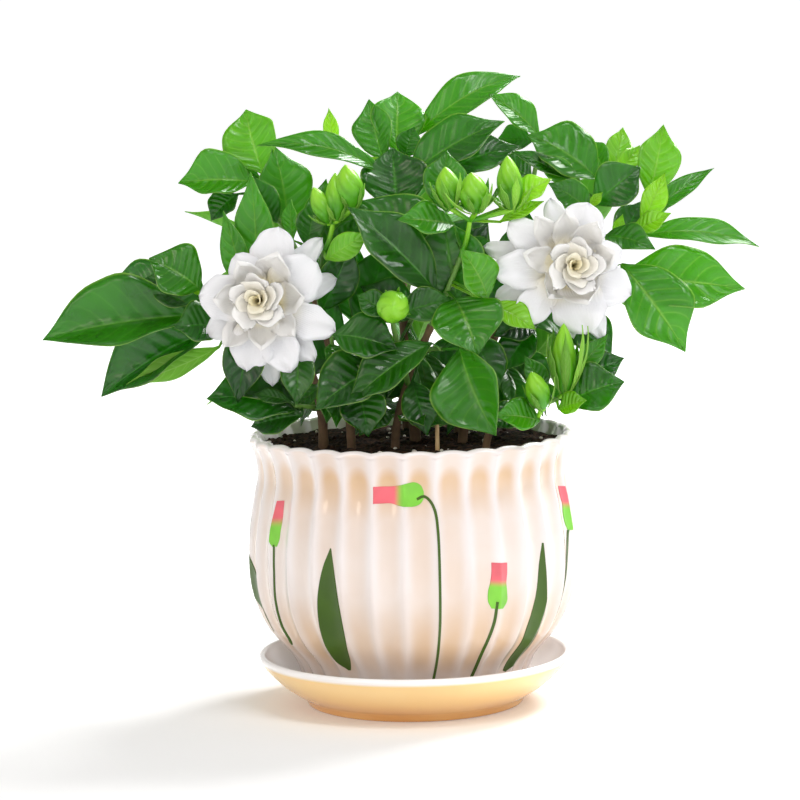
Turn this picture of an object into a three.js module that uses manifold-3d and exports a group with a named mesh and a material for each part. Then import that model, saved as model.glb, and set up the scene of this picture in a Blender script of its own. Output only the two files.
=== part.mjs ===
// A potted gardenia in flower: a fluted pot on its saucer, soil, woody and leafy stems, buds and two blooms.
// Millimetres. +Z is up, -Y is the front, and the origin is on the surface under the middle of the saucer.
import * as THREE from "three";
import { mergeVertices } from "three/addons/utils/BufferGeometryUtils.js";
import Module from "manifold-3d";

const wasm = await Module();
wasm.setup();

// Driving sizes
const RIM_HEIGHT = 137;
const RIM_RADIUS = 81.5;
const SAUCER_HEIGHT = 26;
const SAUCER_RADIUS = 78.5;
const SAUCER_FLOOR = 5.8;
const FLUTES = 32;
const FLUTE_DEPTH = 2.2;
const FLUTE_TURN = -3;
const POT_WALL = 4.5;
const POT_FLOOR = 6;
const DRAIN_RADIUS = 7;
const SOIL_BELOW_RIM = 5.5;
const SOIL_LUMP = 1.6;
const CLEARANCE = 0.35;
const WOODY_SIDES = 5;
const LEAFY_SIDES = 4;
const INSIDE_SEGMENTS = 22;
const LEAF_THICKNESS = 0.7;
const PETAL_THICKNESS = 0.8;
const PETIOLE_WIDTH = 1.6;
const LEAF_FOLD = 16;
const SLIM_WIDTH = 15.5;
const LEAF_WAVE = 0.05;
const LEAF_WAVES = 2.3;
const GOLDEN_ANGLE = 137.5;

// Materials
function finish(color, roughness) {
  return new THREE.MeshStandardMaterial({ color, roughness, metalness: 0 });
}
const whiteGlaze = finish(0xf0e6e0, 0.2);
const tanGlaze = finish(0xf0cf9a, 0.25);
const soilBrown = finish(0x241a14, 0.95);
const bark = finish(0x6b5138, 0.8);
const dryWood = finish(0xd8b98a, 0.7);
const leafGreen = finish(0x2c7a1e, 0.3);
const budGreen = finish(0x8fc93a, 0.4);
const petalWhite = finish(0xf6f4f2, 0.6);

// A draw that gives the same numbers on every run
function seededDraw(seed) {
  let state = seed;
  return function draw(low, high) {
    state = (state * 16807) % 2147483647;
    return low + (high - low) * (state / 2147483647);
  };
}

// Where the viewer in front of the plant stands. A reading [right, up, front] is a point as seen from there:
// its place on the upright plane through the pot's axis, and how far in front of that plane it lies.
const VIEWER = new THREE.Vector3(0, -1800, 372);

function seen([right, up, front]) {
  return new THREE.Vector3(right, 0, up).lerp(VIEWER, front / -VIEWER.y);
}

function facing([right, up, front]) {
  return new THREE.Vector3(right, -front, up);
}

function radians(degrees) {
  return THREE.MathUtils.degToRad(degrees);
}

// Solids from closed geometries, and back
function solidOf(geometry) {
  const bare = geometry.clone();
  bare.deleteAttribute("normal");
  bare.deleteAttribute("uv");
  const merged = mergeVertices(bare, 1e-3);
  const index = merged.index.array;
  const triangles = [];
  for (let i = 0; i < index.length; i += 3) {
    const [a, b, c] = [index[i], index[i + 1], index[i + 2]];
    if (a !== b && b !== c && c !== a) triangles.push(a, b, c);
  }
  return new wasm.Manifold(new wasm.Mesh({
    numProp: 3,
    vertProperties: new Float32Array(merged.attributes.position.array),
    triVerts: new Uint32Array(triangles),
  }));
}

function meshOf(name, solid, material) {
  const { numProp, vertProperties, triVerts } = solid.getMesh();
  const geometry = new THREE.BufferGeometry();
  geometry.setAttribute("position", new THREE.BufferAttribute(vertProperties.slice(), numProp));
  geometry.setIndex(new THREE.BufferAttribute(triVerts.slice(), 1));
  geometry.computeVertexNormals();
  const mesh = new THREE.Mesh(geometry, material);
  mesh.name = name;
  return mesh;
}

function joined(solids) {
  return solids.reduce((whole, solid) => whole.add(solid));
}

// Drops loose scraps and the walls of sealed hollows
function largestPiece(solid) {
  return solid.decompose().reduce((best, piece) => (piece.volume() > best.volume() ? piece : best));
}

function turned(profile, segments) {
  const points = profile.map(([radius, height]) => new THREE.Vector2(radius, height));
  const geometry = new THREE.LatheGeometry(points, segments);
  geometry.rotateX(Math.PI / 2);
  return geometry;
}

// The radius at a height on a list of [height, radius] pairs, rising, with straight stretches between them
function radiusAt(pairs, height) {
  for (let i = 1; i < pairs.length; i++) {
    const [lowHeight, lowRadius] = pairs[i - 1];
    const [highHeight, highRadius] = pairs[i];
    if (height <= highHeight) {
      return THREE.MathUtils.mapLinear(height, lowHeight, highHeight, lowRadius, highRadius);
    }
  }
  return pairs[pairs.length - 1][1];
}

// Saucer
function saucer() {
  const profile = [
    [0, 0], [54, 0], [55.5, 3], [67, 10.5], [75.5, 19.5], [SAUCER_RADIUS, 24],
    [SAUCER_RADIUS - 1, SAUCER_HEIGHT], [75.2, 24.6], [66.5, 13.5], [57, SAUCER_FLOOR], [0, SAUCER_FLOOR],
  ];
  return meshOf("saucer", solidOf(turned(profile, 36)), tanGlaze);
}

// Pot: its outside radius by height, the depth of its flutes, and its plain inside
const POT_FOOT = SAUCER_FLOOR + 0.3;
const POT_OUTSIDE = [
  [POT_FOOT, 54.5], [24, 60.5], [41, 74], [60, 81.4], [84, 82.5], [104, 79.8], [117, 77.4], [127, 78.6],
  [RIM_HEIGHT - 2, RIM_RADIUS],
];

function fluteDepth(height) {
  const nearFoot = THREE.MathUtils.smoothstep(height, POT_FOOT, 34);
  const nearRim = THREE.MathUtils.smoothstep(height, 122, RIM_HEIGHT);
  return FLUTE_DEPTH * (0.25 + 0.75 * nearFoot) * (1 - 0.45 * nearRim);
}

function innerRadius(height) {
  return radiusAt(POT_OUTSIDE, height) - POT_WALL;
}

const INSIDE_HEIGHTS = [POT_FOOT + POT_FLOOR, 24, 60, 104, 117];

function potInside(top, shrink) {
  const profile = [[0, INSIDE_HEIGHTS[0] + shrink]];
  for (const height of INSIDE_HEIGHTS) {
    const lifted = Math.max(height, INSIDE_HEIGHTS[0] + shrink);
    profile.push([innerRadius(height) - shrink, lifted]);
  }
  profile.push([innerRadius(Math.min(top, RIM_HEIGHT)) - shrink, top], [0, top]);
  return profile;
}

function pot() {
  const profile = [[0, POT_FOOT]];
  for (const [height, radius] of POT_OUTSIDE) profile.push([radius, height]);
  profile.push([RIM_RADIUS - 1.2, RIM_HEIGHT], [0, RIM_HEIGHT]);
  const outside = turned(profile, FLUTES * 2);
  const place = outside.attributes.position;
  for (let i = 0; i < place.count; i++) {
    const radius = Math.hypot(place.getX(i), place.getY(i));
    if (radius < 1) continue;
    const around = Math.atan2(place.getY(i), place.getX(i));
    const groove = fluteDepth(place.getZ(i)) * Math.abs(Math.sin(around * FLUTES / 2));
    const scale = (radius - groove) / radius;
    place.setX(i, place.getX(i) * scale);
    place.setY(i, place.getY(i) * scale);
  }
  outside.rotateZ(radians(FLUTE_TURN));
  const inside = solidOf(turned(potInside(RIM_HEIGHT + 3, 0), INSIDE_SEGMENTS));
  const drain = new THREE.CylinderGeometry(DRAIN_RADIUS, DRAIN_RADIUS, POT_FLOOR * 3, 20);
  drain.rotateX(Math.PI / 2);
  drain.translate(0, 0, POT_FOOT);
  return solidOf(outside).subtract(inside).subtract(solidOf(drain));
}

// Soil, with a lumpy top and a plain hole for each stem
const SOIL_TOP = RIM_HEIGHT - SOIL_BELOW_RIM;

function soil(holes) {
  const draw = seededDraw(41);
  const profile = potInside(SOIL_TOP - 1, CLEARANCE).slice(0, -1);
  const edge = profile[profile.length - 1][0];
  profile.push([edge * 0.8, SOIL_TOP], [edge * 0.55, SOIL_TOP + 1], [edge * 0.28, SOIL_TOP + 1.5]);
  profile.push([0, SOIL_TOP + 2]);
  const segments = INSIDE_SEGMENTS;
  const body = turned(profile, segments);
  const rings = profile.length;
  const place = body.attributes.position;
  for (let ring = rings - 4; ring < rings - 1; ring++) {
    for (let spoke = 0; spoke < segments; spoke++) {
      const lump = draw(-SOIL_LUMP, SOIL_LUMP);
      const copies = spoke === 0 ? [0, segments] : [spoke];
      for (const copy of copies) {
        const vertex = copy * rings + ring;
        place.setZ(vertex, place.getZ(vertex) + lump);
      }
    }
  }
  let solid = solidOf(body);
  for (const { path, radius } of holes) {
    const foot = seen(path[0]);
    const holeRadius = 1.2 * (radius + 2 * CLEARANCE);
    const hole = new THREE.CylinderGeometry(holeRadius, holeRadius, 60, 6);
    hole.rotateX(Math.PI / 2);
    hole.translate(foot.x, foot.y, foot.z + 30 - CLEARANCE);
    solid = solid.subtract(solidOf(hole));
  }
  return solid;
}

// A stem: a slim tube along the readings that it passes
function stemCurve(path) {
  return new THREE.CatmullRomCurve3(path.map(seen));
}

function stemTube(path, radius, sides) {
  const outline = new THREE.Shape();
  for (let side = 0; side < sides; side++) {
    const turn = 2 * Math.PI * side / sides;
    const corner = [radius * Math.cos(turn), radius * Math.sin(turn)];
    if (side === 0) outline.moveTo(...corner);
    else outline.lineTo(...corner);
  }
  outline.closePath();
  const steps = path.length;
  const settings = { steps, extrudePath: stemCurve(path), bevelEnabled: false };
  return solidOf(new THREE.ExtrudeGeometry(outline, settings));
}

// A blade: a leaf or petal that bends along its midrib, folds along it and has a waved edge.
// Its width profile runs from 0 at the base to 1 at the tip.
function leafProfile(t) {
  const body = Math.sin(Math.PI * t ** 1.1) ** 0.8;
  return body * (1 - 0.35 * THREE.MathUtils.smoothstep(t, 0.7, 1));
}

function petalProfile(t) {
  return Math.sin(Math.PI * t ** 1.35) ** 0.55;
}

const LEAF_STATIONS = [0.3, 0.68, 1];
const SLIM_STATIONS = [0.45, 1];
const PETAL_STATIONS = [0.2, 0.72, 1];

function bladeSolid(blade, extra) {
  const { root, base, tip, face, width, arch, fold, wave, phase, thickness, stations, profile } = blade;
  const spread = fold === 0 ? [-1, 1] : [-1, 0, 1];
  const chord = tip.clone().sub(base);
  const flatSide = chord.clone().cross(face).normalize();
  const flatNormal = flatSide.clone().cross(chord).normalize();
  const middle = base.clone().add(tip).multiplyScalar(0.5).addScaledVector(flatNormal, 2 * arch);
  const midrib = new THREE.QuadraticBezierCurve3(base, middle, tip);
  const upper = [];
  const lower = [];
  function addRow(centre, tangent, offsets) {
    const side = tangent.clone().cross(face).normalize();
    const normal = side.clone().cross(tangent).normalize();
    for (const [across, rise] of offsets) {
      const point = centre.clone().addScaledVector(side, across).addScaledVector(normal, rise);
      upper.push(point.clone().addScaledVector(normal, thickness / 2 + extra));
      lower.push(point.clone().addScaledVector(normal, -thickness / 2 - extra));
    }
  }
  const stalkHalf = PETIOLE_WIDTH / 2 + extra;
  const stalkRows = root ? 1 : 0;
  if (root) addRow(root, tip.clone().sub(root).normalize(), spread.map((s) => [s * stalkHalf, 0]));
  for (const t of stations) {
    const half = Math.max(width / 2 * profile(t), PETIOLE_WIDTH / 2) + extra;
    const swing = wave * width * Math.sin(Math.PI * t);
    const offsets = spread.map((s) => {
      const ripple = swing * Math.sin(2 * Math.PI * (LEAF_WAVES * t + phase) + 2.1 * s) * Math.abs(s);
      return [s * half * Math.cos(radians(fold)), Math.abs(s) * half * Math.sin(radians(fold)) + ripple];
    });
    const tangent = midrib.getTangent(t);
    const reach = t === 1 ? extra : 0;
    addRow(midrib.getPoint(t).addScaledVector(tangent, reach), tangent, t === 1 ? [[0, 0]] : offsets);
  }
  const rows = stations.length + stalkRows;
  const columns = spread.length;
  const tipIndex = columns * (rows - 1);
  const shift = upper.length;
  const at = (row, column) => (row === rows - 1 ? tipIndex : columns * row + column);
  const triangles = [];
  function addTriangle(a, b, c) {
    if (a !== b && b !== c && c !== a) triangles.push(a, b, c);
  }
  function addWall(a, b) {
    addTriangle(a, b, b + shift);
    addTriangle(a, b + shift, a + shift);
  }
  for (let row = 0; row < rows - 1; row++) {
    for (let column = 0; column < columns - 1; column++) {
      const [a, b] = [at(row, column), at(row, column + 1)];
      const [c, d] = [at(row + 1, column), at(row + 1, column + 1)];
      addTriangle(a, b, c);
      addTriangle(b, d, c);
      addTriangle(a + shift, c + shift, b + shift);
      addTriangle(b + shift, c + shift, d + shift);
    }
    addWall(at(row, 0), at(row + 1, 0));
    addWall(at(row + 1, columns - 1), at(row, columns - 1));
  }
  for (let column = 0; column < columns - 1; column++) addWall(at(0, column + 1), at(0, column));
  const points = [...upper, ...lower].flatMap((point) => point.toArray());
  return new wasm.Manifold(new wasm.Mesh({
    numProp: 3,
    vertProperties: new Float32Array(points),
    triVerts: new Uint32Array(triangles),
  }));
}

// The true width of a blade whose width is read as it is seen
function trueWidth(base, tip, face, seenWidth, fold) {
  const chord = tip.clone().sub(base);
  const side = chord.clone().cross(face).normalize();
  const seenSide = chord.clone().cross(new THREE.Vector3(0, -1, 0)).normalize();
  const share = Math.max(0.5, Math.abs(side.dot(seenSide)));
  return seenWidth / share / Math.cos(radians(fold));
}

function nearestOn(curve, point) {
  const places = curve.getPoints(24);
  return places.reduce((best, place) => (place.distanceTo(point) < best.distanceTo(point) ? place : best));
}

// A leaf is read as [base, tip, seen width, face, arch], and its fold where that differs from the usual one.
// A slim leaf is flat, and so is a leaf deep inside the plant.
function readLeaf([base, tip, seenWidth, face, arch, ownFold = LEAF_FOLD], curve, phase, inner) {
  const [basePoint, tipPoint, facePoint] = [seen(base), seen(tip), facing(face)];
  const slim = seenWidth < SLIM_WIDTH;
  return {
    root: nearestOn(curve, basePoint),
    base: basePoint,
    tip: tipPoint,
    face: facePoint,
    width: trueWidth(basePoint, tipPoint, facePoint, seenWidth, ownFold),
    arch,
    fold: slim || inner ? 0 : ownFold,
    wave: LEAF_WAVE,
    phase,
    thickness: LEAF_THICKNESS,
    stations: slim ? SLIM_STATIONS : LEAF_STATIONS,
    profile: leafProfile,
  };
}

// Woody stems: each goes upright through its hole in the soil, and then along its readings
const WOODY_STEMS = {
  woody_stem_left: {
    radius: 2.5,
    path: [[-44, 108, 20], [-44, 132, 20], [-45, 150, 22], [-52, 172, 20], [-66, 186, 18]],
  },
  woody_stem_upper_left: {
    radius: 2.3,
    path: [[-30, 108, 28], [-30, 132, 28], [-31, 146, 27], [-37, 170, 20], [-44, 195, 12], [-51, 218, 5]],
  },
  woody_stem_middle: {
    radius: 2.8,
    path: [[2, 108, 4], [2, 136, 4], [0, 160, 4], [-3, 200, 2], [-4, 238, -2]],
  },
  woody_stem_front: {
    radius: 2.2,
    path: [[-8, 108, 26], [-8, 132, 26], [-6, 146, 27], [3, 172, 30], [11, 190, 32]],
  },
  woody_stem_right: {
    radius: 2.5,
    path: [[26, 108, 14], [26, 135, 14], [32, 152, 16], [50, 182, 16], [68, 208, 11], [79, 225, 8]],
  },
  woody_stem_low_right: {
    radius: 2,
    path: [[38, 108, 34], [38, 132, 34], [44, 142, 38], [56, 150, 42]],
  },
  woody_stem_back_right: {
    radius: 2.4,
    path: [[24, 108, -22], [24, 138, -22], [36, 165, -25], [50, 210, -28], [57, 242, -28]],
  },
  woody_stem_back_left: {
    radius: 2.4,
    path: [[-26, 108, -20], [-26, 138, -20], [-38, 160, -26], [-46, 196, -34]],
  },
  woody_stem_back: {
    radius: 2.4,
    path: [[-2, 108, -40], [-2, 141, -40], [-4, 160, -46], [-2, 196, -54]],
  },
};
const STICK = { radius: 1.1, path: [[13, 108, 36], [13, 132, 36], [13, 145, 36]] };

// Leafy stems: each path starts inside the woody stem that carries it
const LEAFY_STEMS = {
  leafy_stem_left: {
    radius: 1.4,
    path: [[-63, 184, 18], [-80, 189, 16], [-94, 195, 18], [-104, 206, 22]],
    leaves: [
      [[-104, 197, 22], [-183, 186, 15], 32, [0, 0.7, 1], 5, 36],
      [[-106, 206, 8], [-151, 213, -10], 24, [0, 0.5, 1], 4],
      [[-104, 210, 32], [-129, 226, 35], 25, [0.2, 0.5, 1], 3],
      [[-101, 205, 16], [-131, 216, 12], 24, [0, 0.6, 1], 3],
      [[-94, 191, 30], [-117.5, 191, 38], 19, [-0.3, 0.6, 1], 2],
      [[-98, 190, 12], [-154.5, 157, 5], 27, [-0.4, 0.6, 1], 5, 34],
      [[-95, 181, 20], [-142, 163, 18], 13, [0.3, 0.5, -1], -3],
    ],
  },
  leafy_stem_behind_left_bloom: {
    radius: 1.4,
    path: [[-53, 174, 20], [-61, 186, 22], [-68, 197, 25]],
    leaves: [
      [[-75, 209, 22], [-77.5, 268, 22], 19, [-0.2, 0.1, 1], -3],
      [[-80, 203, 24], [-91.5, 249, 26], 14, [-0.3, 0.1, 1], -2],
      [[-78, 196, 32], [-86.5, 152.5, 42], 21, [0, 0.4, 1], 4],
      [[-55, 181, 34], [-57, 151, 48], 17, [0, 0.5, 1], 3],
    ],
  },
  leafy_stem_upper_left: {
    radius: 1.4,
    path: [[-50, 215, 5], [-57, 232, 0], [-66, 247, -2], [-74, 258, -4]],
    leaves: [
      [[-76, 263, 0], [-113.5, 263, 2], 22, [0, 0.6, 1], 3, 36],
      [[-71, 267, -12], [-79, 299, -24], 29, [-0.3, 0.1, 1], 3],
      [[-84, 257, 6], [-97.5, 244, 10], 13, [-0.6, 0.4, 1], 2],
      [[-59, 238, -6], [-66, 281, -10], 26, [0.4, 0.2, 1], 3],
      [[-65, 243, 2], [-76, 266, 4], 17, [-0.3, 0.3, 1], 3],
    ],
  },
  leafy_stem_upper_left_inner: {
    radius: 1.3,
    path: [[-43, 194, 12], [-45, 208, 20], [-42, 228, 28]],
    leaves: [
      [[-41, 224, 40], [-19, 237, 46], 13, [0.1, 0.2, 1], 2],
      [[-44, 198, 24], [-28, 233, 30], 20, [0.3, 0.1, 1], 3],
      [[-50, 230, 22], [-46, 254, 20], 15, [0, 0.1, 1], 2],
      [[-57, 234, 18], [-57.5, 254, 20], 8, [-0.6, 0.1, 1], 1],
    ],
  },
  leafy_stem_front_left: {
    radius: 1.3,
    path: [[-36, 167, 21], [-38, 176, 32], [-39, 185, 42]],
    leaves: [
      [[-38, 186, 46], [-6, 178, 54], 21, [0.1, 0.7, 1], 3],
      [[-34, 180, 36], [-42, 172, 44], 9, [0, 0.6, 1], 1],
      [[-26, 160, 40], [-21.5, 134.5, 52], 23, [0, 0.4, 1], 3],
    ],
  },
  leafy_stem_low_left: {
    radius: 1.3,
    path: [[-45, 149, 22], [-50, 150, 32], [-58, 151, 38]],
    leaves: [
      [[-56, 149, 34], [-102, 155, 34], 25, [-0.1, 1.2, 1], 4],
      [[-60, 153, 38], [-79, 157, 36], 7, [0, 0.6, 1], 1],
      [[-62, 155, 30], [-92, 173, 22], 24, [-0.3, 0.8, 1], 3],
      [[-54, 146, 38], [-80, 140.5, 30], 16, [0, 0.7, 1], 2],
    ],
  },
  leafy_stem_middle_bud: {
    radius: 1.5,
    path: [[-1, 160, 29], [-4, 174, 38], [-8, 190, 47], [-8, 199, 52]],
    leaves: [
      [[-10, 196, 50], [-26, 206, 48], 13, [0, 0.3, 1], 2],
      [[-5, 196, 49], [21, 203, 44], 17, [0.2, 0.4, 1], 2],
      [[-11, 171, 44], [-47.5, 148.5, 54], 25, [-0.2, 0.8, 1], 4],
      [[-5, 169, 42], [-30, 174, 44], 18, [0, 0.6, 1], 2],
    ],
  },
  leafy_stem_middle: {
    radius: 1.5,
    path: [[10, 188, 32], [16, 200, 33], [22, 214, 34], [27, 226, 36]],
    leaves: [
      [[14, 206, 40], [-30, 250, 44], 25, [0.3, 0.5, 1], 4],
      [[20, 222, 28], [-27, 252, 22], 28, [0.2, 0.6, 1], 4],
      [[24, 203, 30], [18, 244, 28], 36, [-0.2, 0.3, 1], 3],
      [[23, 203, 42], [34, 174.5, 60], 35, [0.1, 0.5, 1], 4],
      [[39, 203, 44], [26, 228, 52], 18, [0.5, 0.2, 1], 3],
      [[41, 200, 44], [63, 187, 48], 12, [0.2, 0.5, 1], 2],
      [[23, 240, 36], [-5, 243, 48], 15, [0, 0.6, 1], 2],
      [[18, 246, 24], [20, 277, 18], 22, [0, 0.2, 1], 2],
    ],
  },
  leafy_stem_low_middle: {
    radius: 1.4,
    path: [[5, 175, 30], [10, 178, 38], [16, 178, 46]],
    leaves: [
      [[11, 181, 48], [-31.5, 150.5, 60], 19, [-0.2, 0.8, 1], 4],
      [[25, 178, 52], [42.5, 134, 66], 34, [-0.6, 0.3, 1], 4, 32],
      [[1, 162, 40], [8, 134.5, 50], 18, [0, 0.4, 1], 3],
      [[30, 186, 38], [44, 156, 46], 18, [0.3, 0.4, 1], 3],
    ],
  },
  leafy_stem_top: {
    radius: 1.5,
    path: [[-4, 235, -2], [-5, 250, -5], [-4, 264, -10], [-3, 275, -16]],
    leaves: [
      [[-5, 276, -20], [-4, 306.5, -34], 28, [0.1, 0.1, 1], 2],
      [[-11, 272, -16], [-18, 303, -26], 20, [-0.4, 0.1, 1], 2],
      [[-1, 274, -10], [4, 289, -10], 14, [0.1, 0.3, 1], 1],
      [[0, 264, -2], [49, 291, -4], 22, [-0.3, 0.6, 1], 5],
      [[-5, 247, 8], [-7, 279, -2], 34, [0, 0.3, 1], 2],
      [[-11, 266, 0], [-74, 281, 10], 12, [0, 0.7, 1], 12],
      [[12, 262, 0], [57, 278, -12], 18, [-0.2, 0.6, 1], 6],
      [[4, 284, -26], [57, 313, -40], 18, [-0.3, 0.5, 1], 10],
      [[-36, 276, -14], [-38, 299, -24], 8, [0, 0.1, 1], 1],
    ],
  },
  leafy_stem_top_right: {
    radius: 1.4,
    path: [[56, 240, -28], [61, 255, -28], [64, 268, -27], [67, 281, -26]],
    leaves: [
      [[66, 283, -23], [41, 304.5, -20], 14, [0.5, 0.6, 1], 3],
      [[63, 281, -30], [44, 281, -32], 13, [0, 0.5, 1], 2],
      [[68, 277, -28], [83, 289, -32], 8, [0.2, 0.4, 1], 1],
      [[62, 262, -20], [44, 272, -12], 15, [-0.2, 0.6, 1], 2],
    ],
  },
  leafy_stem_right_top: {
    radius: 1.4,
    path: [[78, 223, 8], [86, 238, 8], [93, 250, 8], [98, 260, 4]],
    leaves: [
      [[95, 261, 8], [60, 284, 2], 25, [-0.1, 0.9, 1], 5],
      [[88, 254, 12], [62, 275, 14], 12, [-0.1, 0.6, 1], 2],
      [[80, 262, 16], [52, 276, 14], 8, [-0.2, 0.8, 1], 2],
      [[99, 264, 0], [91, 281, -12], 13, [-0.2, 0.2, 1], 1],
      [[102, 262, -4], [107.5, 287, -18], 14, [0.1, 0.1, 1], 1],
      [[102, 261, 2], [116, 278, -10], 10, [0.2, 0.2, 1], 1],
      [[93, 249, 20], [116, 267, 18], 23, [0.3, 0.6, 1], 3],
      [[91, 248, 22], [97, 255, 24], 5, [0, 0.3, 1], 1],
      [[91, 246, 16], [70, 260, 24], 15, [-0.1, 0.5, 1], 2],
    ],
  },
  leafy_stem_right: {
    radius: 1.4,
    path: [[71, 212, 10], [90, 221, 8], [106, 229, 5], [117, 239, 3]],
    leaves: [
      [[120, 252, 2], [127.5, 288, -2], 22, [0.2, 0.2, 1], 2],
      [[116, 239, 10], [128, 264, 8], 13, [0.3, 0.2, 1], 1],
      [[112, 235, 12], [131, 244, 18], 10, [0.2, 0.5, 1], 1],
      [[114, 240, -12], [152.5, 266, -28], 10, [0, 0.5, 1], 3],
      [[114, 233, 6], [174.5, 226.5, 0], 12, [0.1, 0.7, 1], 9],
      [[98, 233, 16], [123, 226, 28], 13, [0.2, 0.6, 1], 3],
      [[104, 226, 0], [116, 250, -16], 18, [0.1, 0.4, 1], 2],
    ],
  },
  leafy_stem_behind_right_bloom: {
    radius: 1.4,
    path: [[51, 184, 16], [62, 194, 20], [75, 206, 24]],
    leaves: [
      [[104, 212, 14], [167.5, 205.5, 14], 30, [0.2, 0.5, 1], 3],
      [[106, 219, 22], [137.5, 174.5, 28], 33, [0.2, 0.4, 1], 4],
      [[76, 198, 26], [100, 168, 30], 20, [0.4, 0.5, 1], 3],
      [[64, 190, 24], [42, 184, 32], 15, [-0.1, 0.6, 1], 2],
      [[62, 188, 26], [46, 166, 36], 18, [-0.1, 0.5, 1], 2],
    ],
  },
  leafy_stem_low_right: {
    radius: 1.4,
    path: [[54, 149, 41], [63, 149, 46], [74, 152, 48]],
    leaves: [
      [[64, 141, 56], [42, 144, 64], 14, [-0.2, 0.7, 1], 2],
      [[78, 150, 46], [107, 160, 48], 22, [0.2, 0.7, 1], 3],
      [[82, 160, 40], [107, 172, 36], 15, [0.2, 0.7, 1], 2],
      [[80, 162, 42], [99, 184, 38], 11, [0.2, 0.4, 1], 2],
      [[68, 158, 44], [57, 174, 50], 11, [-0.3, 0.4, 1], 2],
      [[74, 147, 52], [88, 151, 60], 10, [0.1, 0.6, 1], 1],
      [[56, 148, 44], [42, 138, 48], 14, [0, 0.6, 1], 2],
    ],
  },
  leafy_stem_inner_left: {
    radius: 1.3,
    path: [[-36, 166, 21], [-31, 178, 13], [-28, 194, 6]],
    leaves: [
      [[-32, 184, 6], [-60, 205, -10], 27, [-0.3, 0.5, 1], 3],
      [[-28, 194, 2], [-40, 240, -8], 28, [-0.1, 0.3, 1], 3],
      [[-26, 188, 12], [-10, 232, 4], 26, [0.2, 0.3, 1], 3],
      [[-34, 172, 12], [-66, 176, 2], 22, [-0.2, 0.6, 1], 3],
    ],
  },
  leafy_stem_inner_middle: {
    radius: 1.3,
    path: [[-2, 186, 3], [4, 200, 8], [10, 214, 8]],
    leaves: [
      [[10, 214, 6], [2, 258, -4], 28, [0, 0.3, 1], 3],
      [[13, 210, 12], [40, 244, 0], 27, [0.2, 0.4, 1], 3],
      [[8, 198, 14], [40, 200, 14], 24, [0.1, 0.6, 1], 3],
      [[2, 194, 12], [-24, 210, 14], 22, [-0.2, 0.5, 1], 3],
    ],
  },
  leafy_stem_inner_right: {
    radius: 1.3,
    path: [[45, 173, 16], [50, 186, 6], [54, 200, -4]],
    leaves: [
      [[54, 200, -6], [60, 246, -18], 28, [0.1, 0.3, 1], 3],
      [[50, 190, 8], [34, 224, 2], 24, [-0.2, 0.4, 1], 3],
      [[54, 194, 0], [92, 192, -12], 26, [0.2, 0.6, 1], 3],
      [[48, 178, 14], [66, 150, 18], 22, [0.2, 0.5, 1], 3],
    ],
  },
  leafy_stem_inner_low: {
    radius: 1.3,
    path: [[-7, 143, 27], [-2, 154, 18], [6, 162, 12]],
    leaves: [
      [[6, 162, 12], [38, 176, 4], 25, [0.2, 0.6, 1], 3],
      [[0, 156, 16], [-28, 170, 8], 24, [-0.2, 0.6, 1], 3],
      [[6, 158, 14], [30, 142, 20], 20, [0.1, 0.6, 1], 3],
    ],
  },
};

// Rear leafy stems, whose leaves stand around them by rule: [path, leaves, longest leaf]
const REAR_STEMS = {
  leafy_stem_back_left: [[[-45, 190, -33], [-56, 208, -44], [-66, 222, -54]], 6, 62],
  leafy_stem_back_middle: [[[-3, 190, -52], [0, 210, -60], [4, 228, -66]], 6, 62],
  leafy_stem_back_right: [[[44, 190, -27], [58, 206, -42], [72, 220, -52]], 6, 62],
  leafy_stem_back_low_left: [[[-34, 150, -24], [-48, 162, -34], [-62, 172, -40]], 5, 56],
  leafy_stem_back_low_right: [[[32, 150, -23], [46, 160, -34], [62, 170, -40]], 5, 56],
  leafy_stem_back_low_middle: [[[-3, 152, -45], [-2, 162, -58], [0, 172, -70]], 5, 54],
};
const REAR_RADIUS = 1.4;

function whorl(path, count, longest, seed) {
  const draw = seededDraw(seed);
  const curve = stemCurve(path);
  const leaves = [];
  for (let k = 0; k < count; k++) {
    const age = k / (count - 1);
    const root = curve.getPoint(1 - 0.6 * age);
    const axis = curve.getTangent(1 - 0.6 * age);
    const across = new THREE.Vector3(0, 0, 1).cross(axis).normalize();
    const out = across.applyAxisAngle(axis, radians(k * GOLDEN_ANGLE + draw(-15, 15)));
    const lean = radians(30 + 48 * age + draw(-6, 6));
    const direction = axis.clone().multiplyScalar(Math.cos(lean)).addScaledVector(out, Math.sin(lean));
    const length = longest * (0.62 + 0.38 * Math.sin(Math.PI * (0.2 + 0.6 * age))) * draw(0.9, 1.05);
    const base = root.clone().addScaledVector(direction, 5);
    const tip = root.clone().addScaledVector(direction, 5 + length);
    tip.z = Math.max(tip.z - 6 * age, RIM_HEIGHT + 8);
    leaves.push({
      root,
      base,
      tip,
      face: axis.clone().add(new THREE.Vector3(0, 0, 0.6)),
      width: length * draw(0.38, 0.46),
      arch: length * 0.07,
      fold: 0,
      wave: LEAF_WAVE,
      phase: draw(0, 1),
      thickness: LEAF_THICKNESS,
      stations: LEAF_STATIONS,
      profile: leafProfile,
    });
  }
  return leaves;
}

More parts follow.
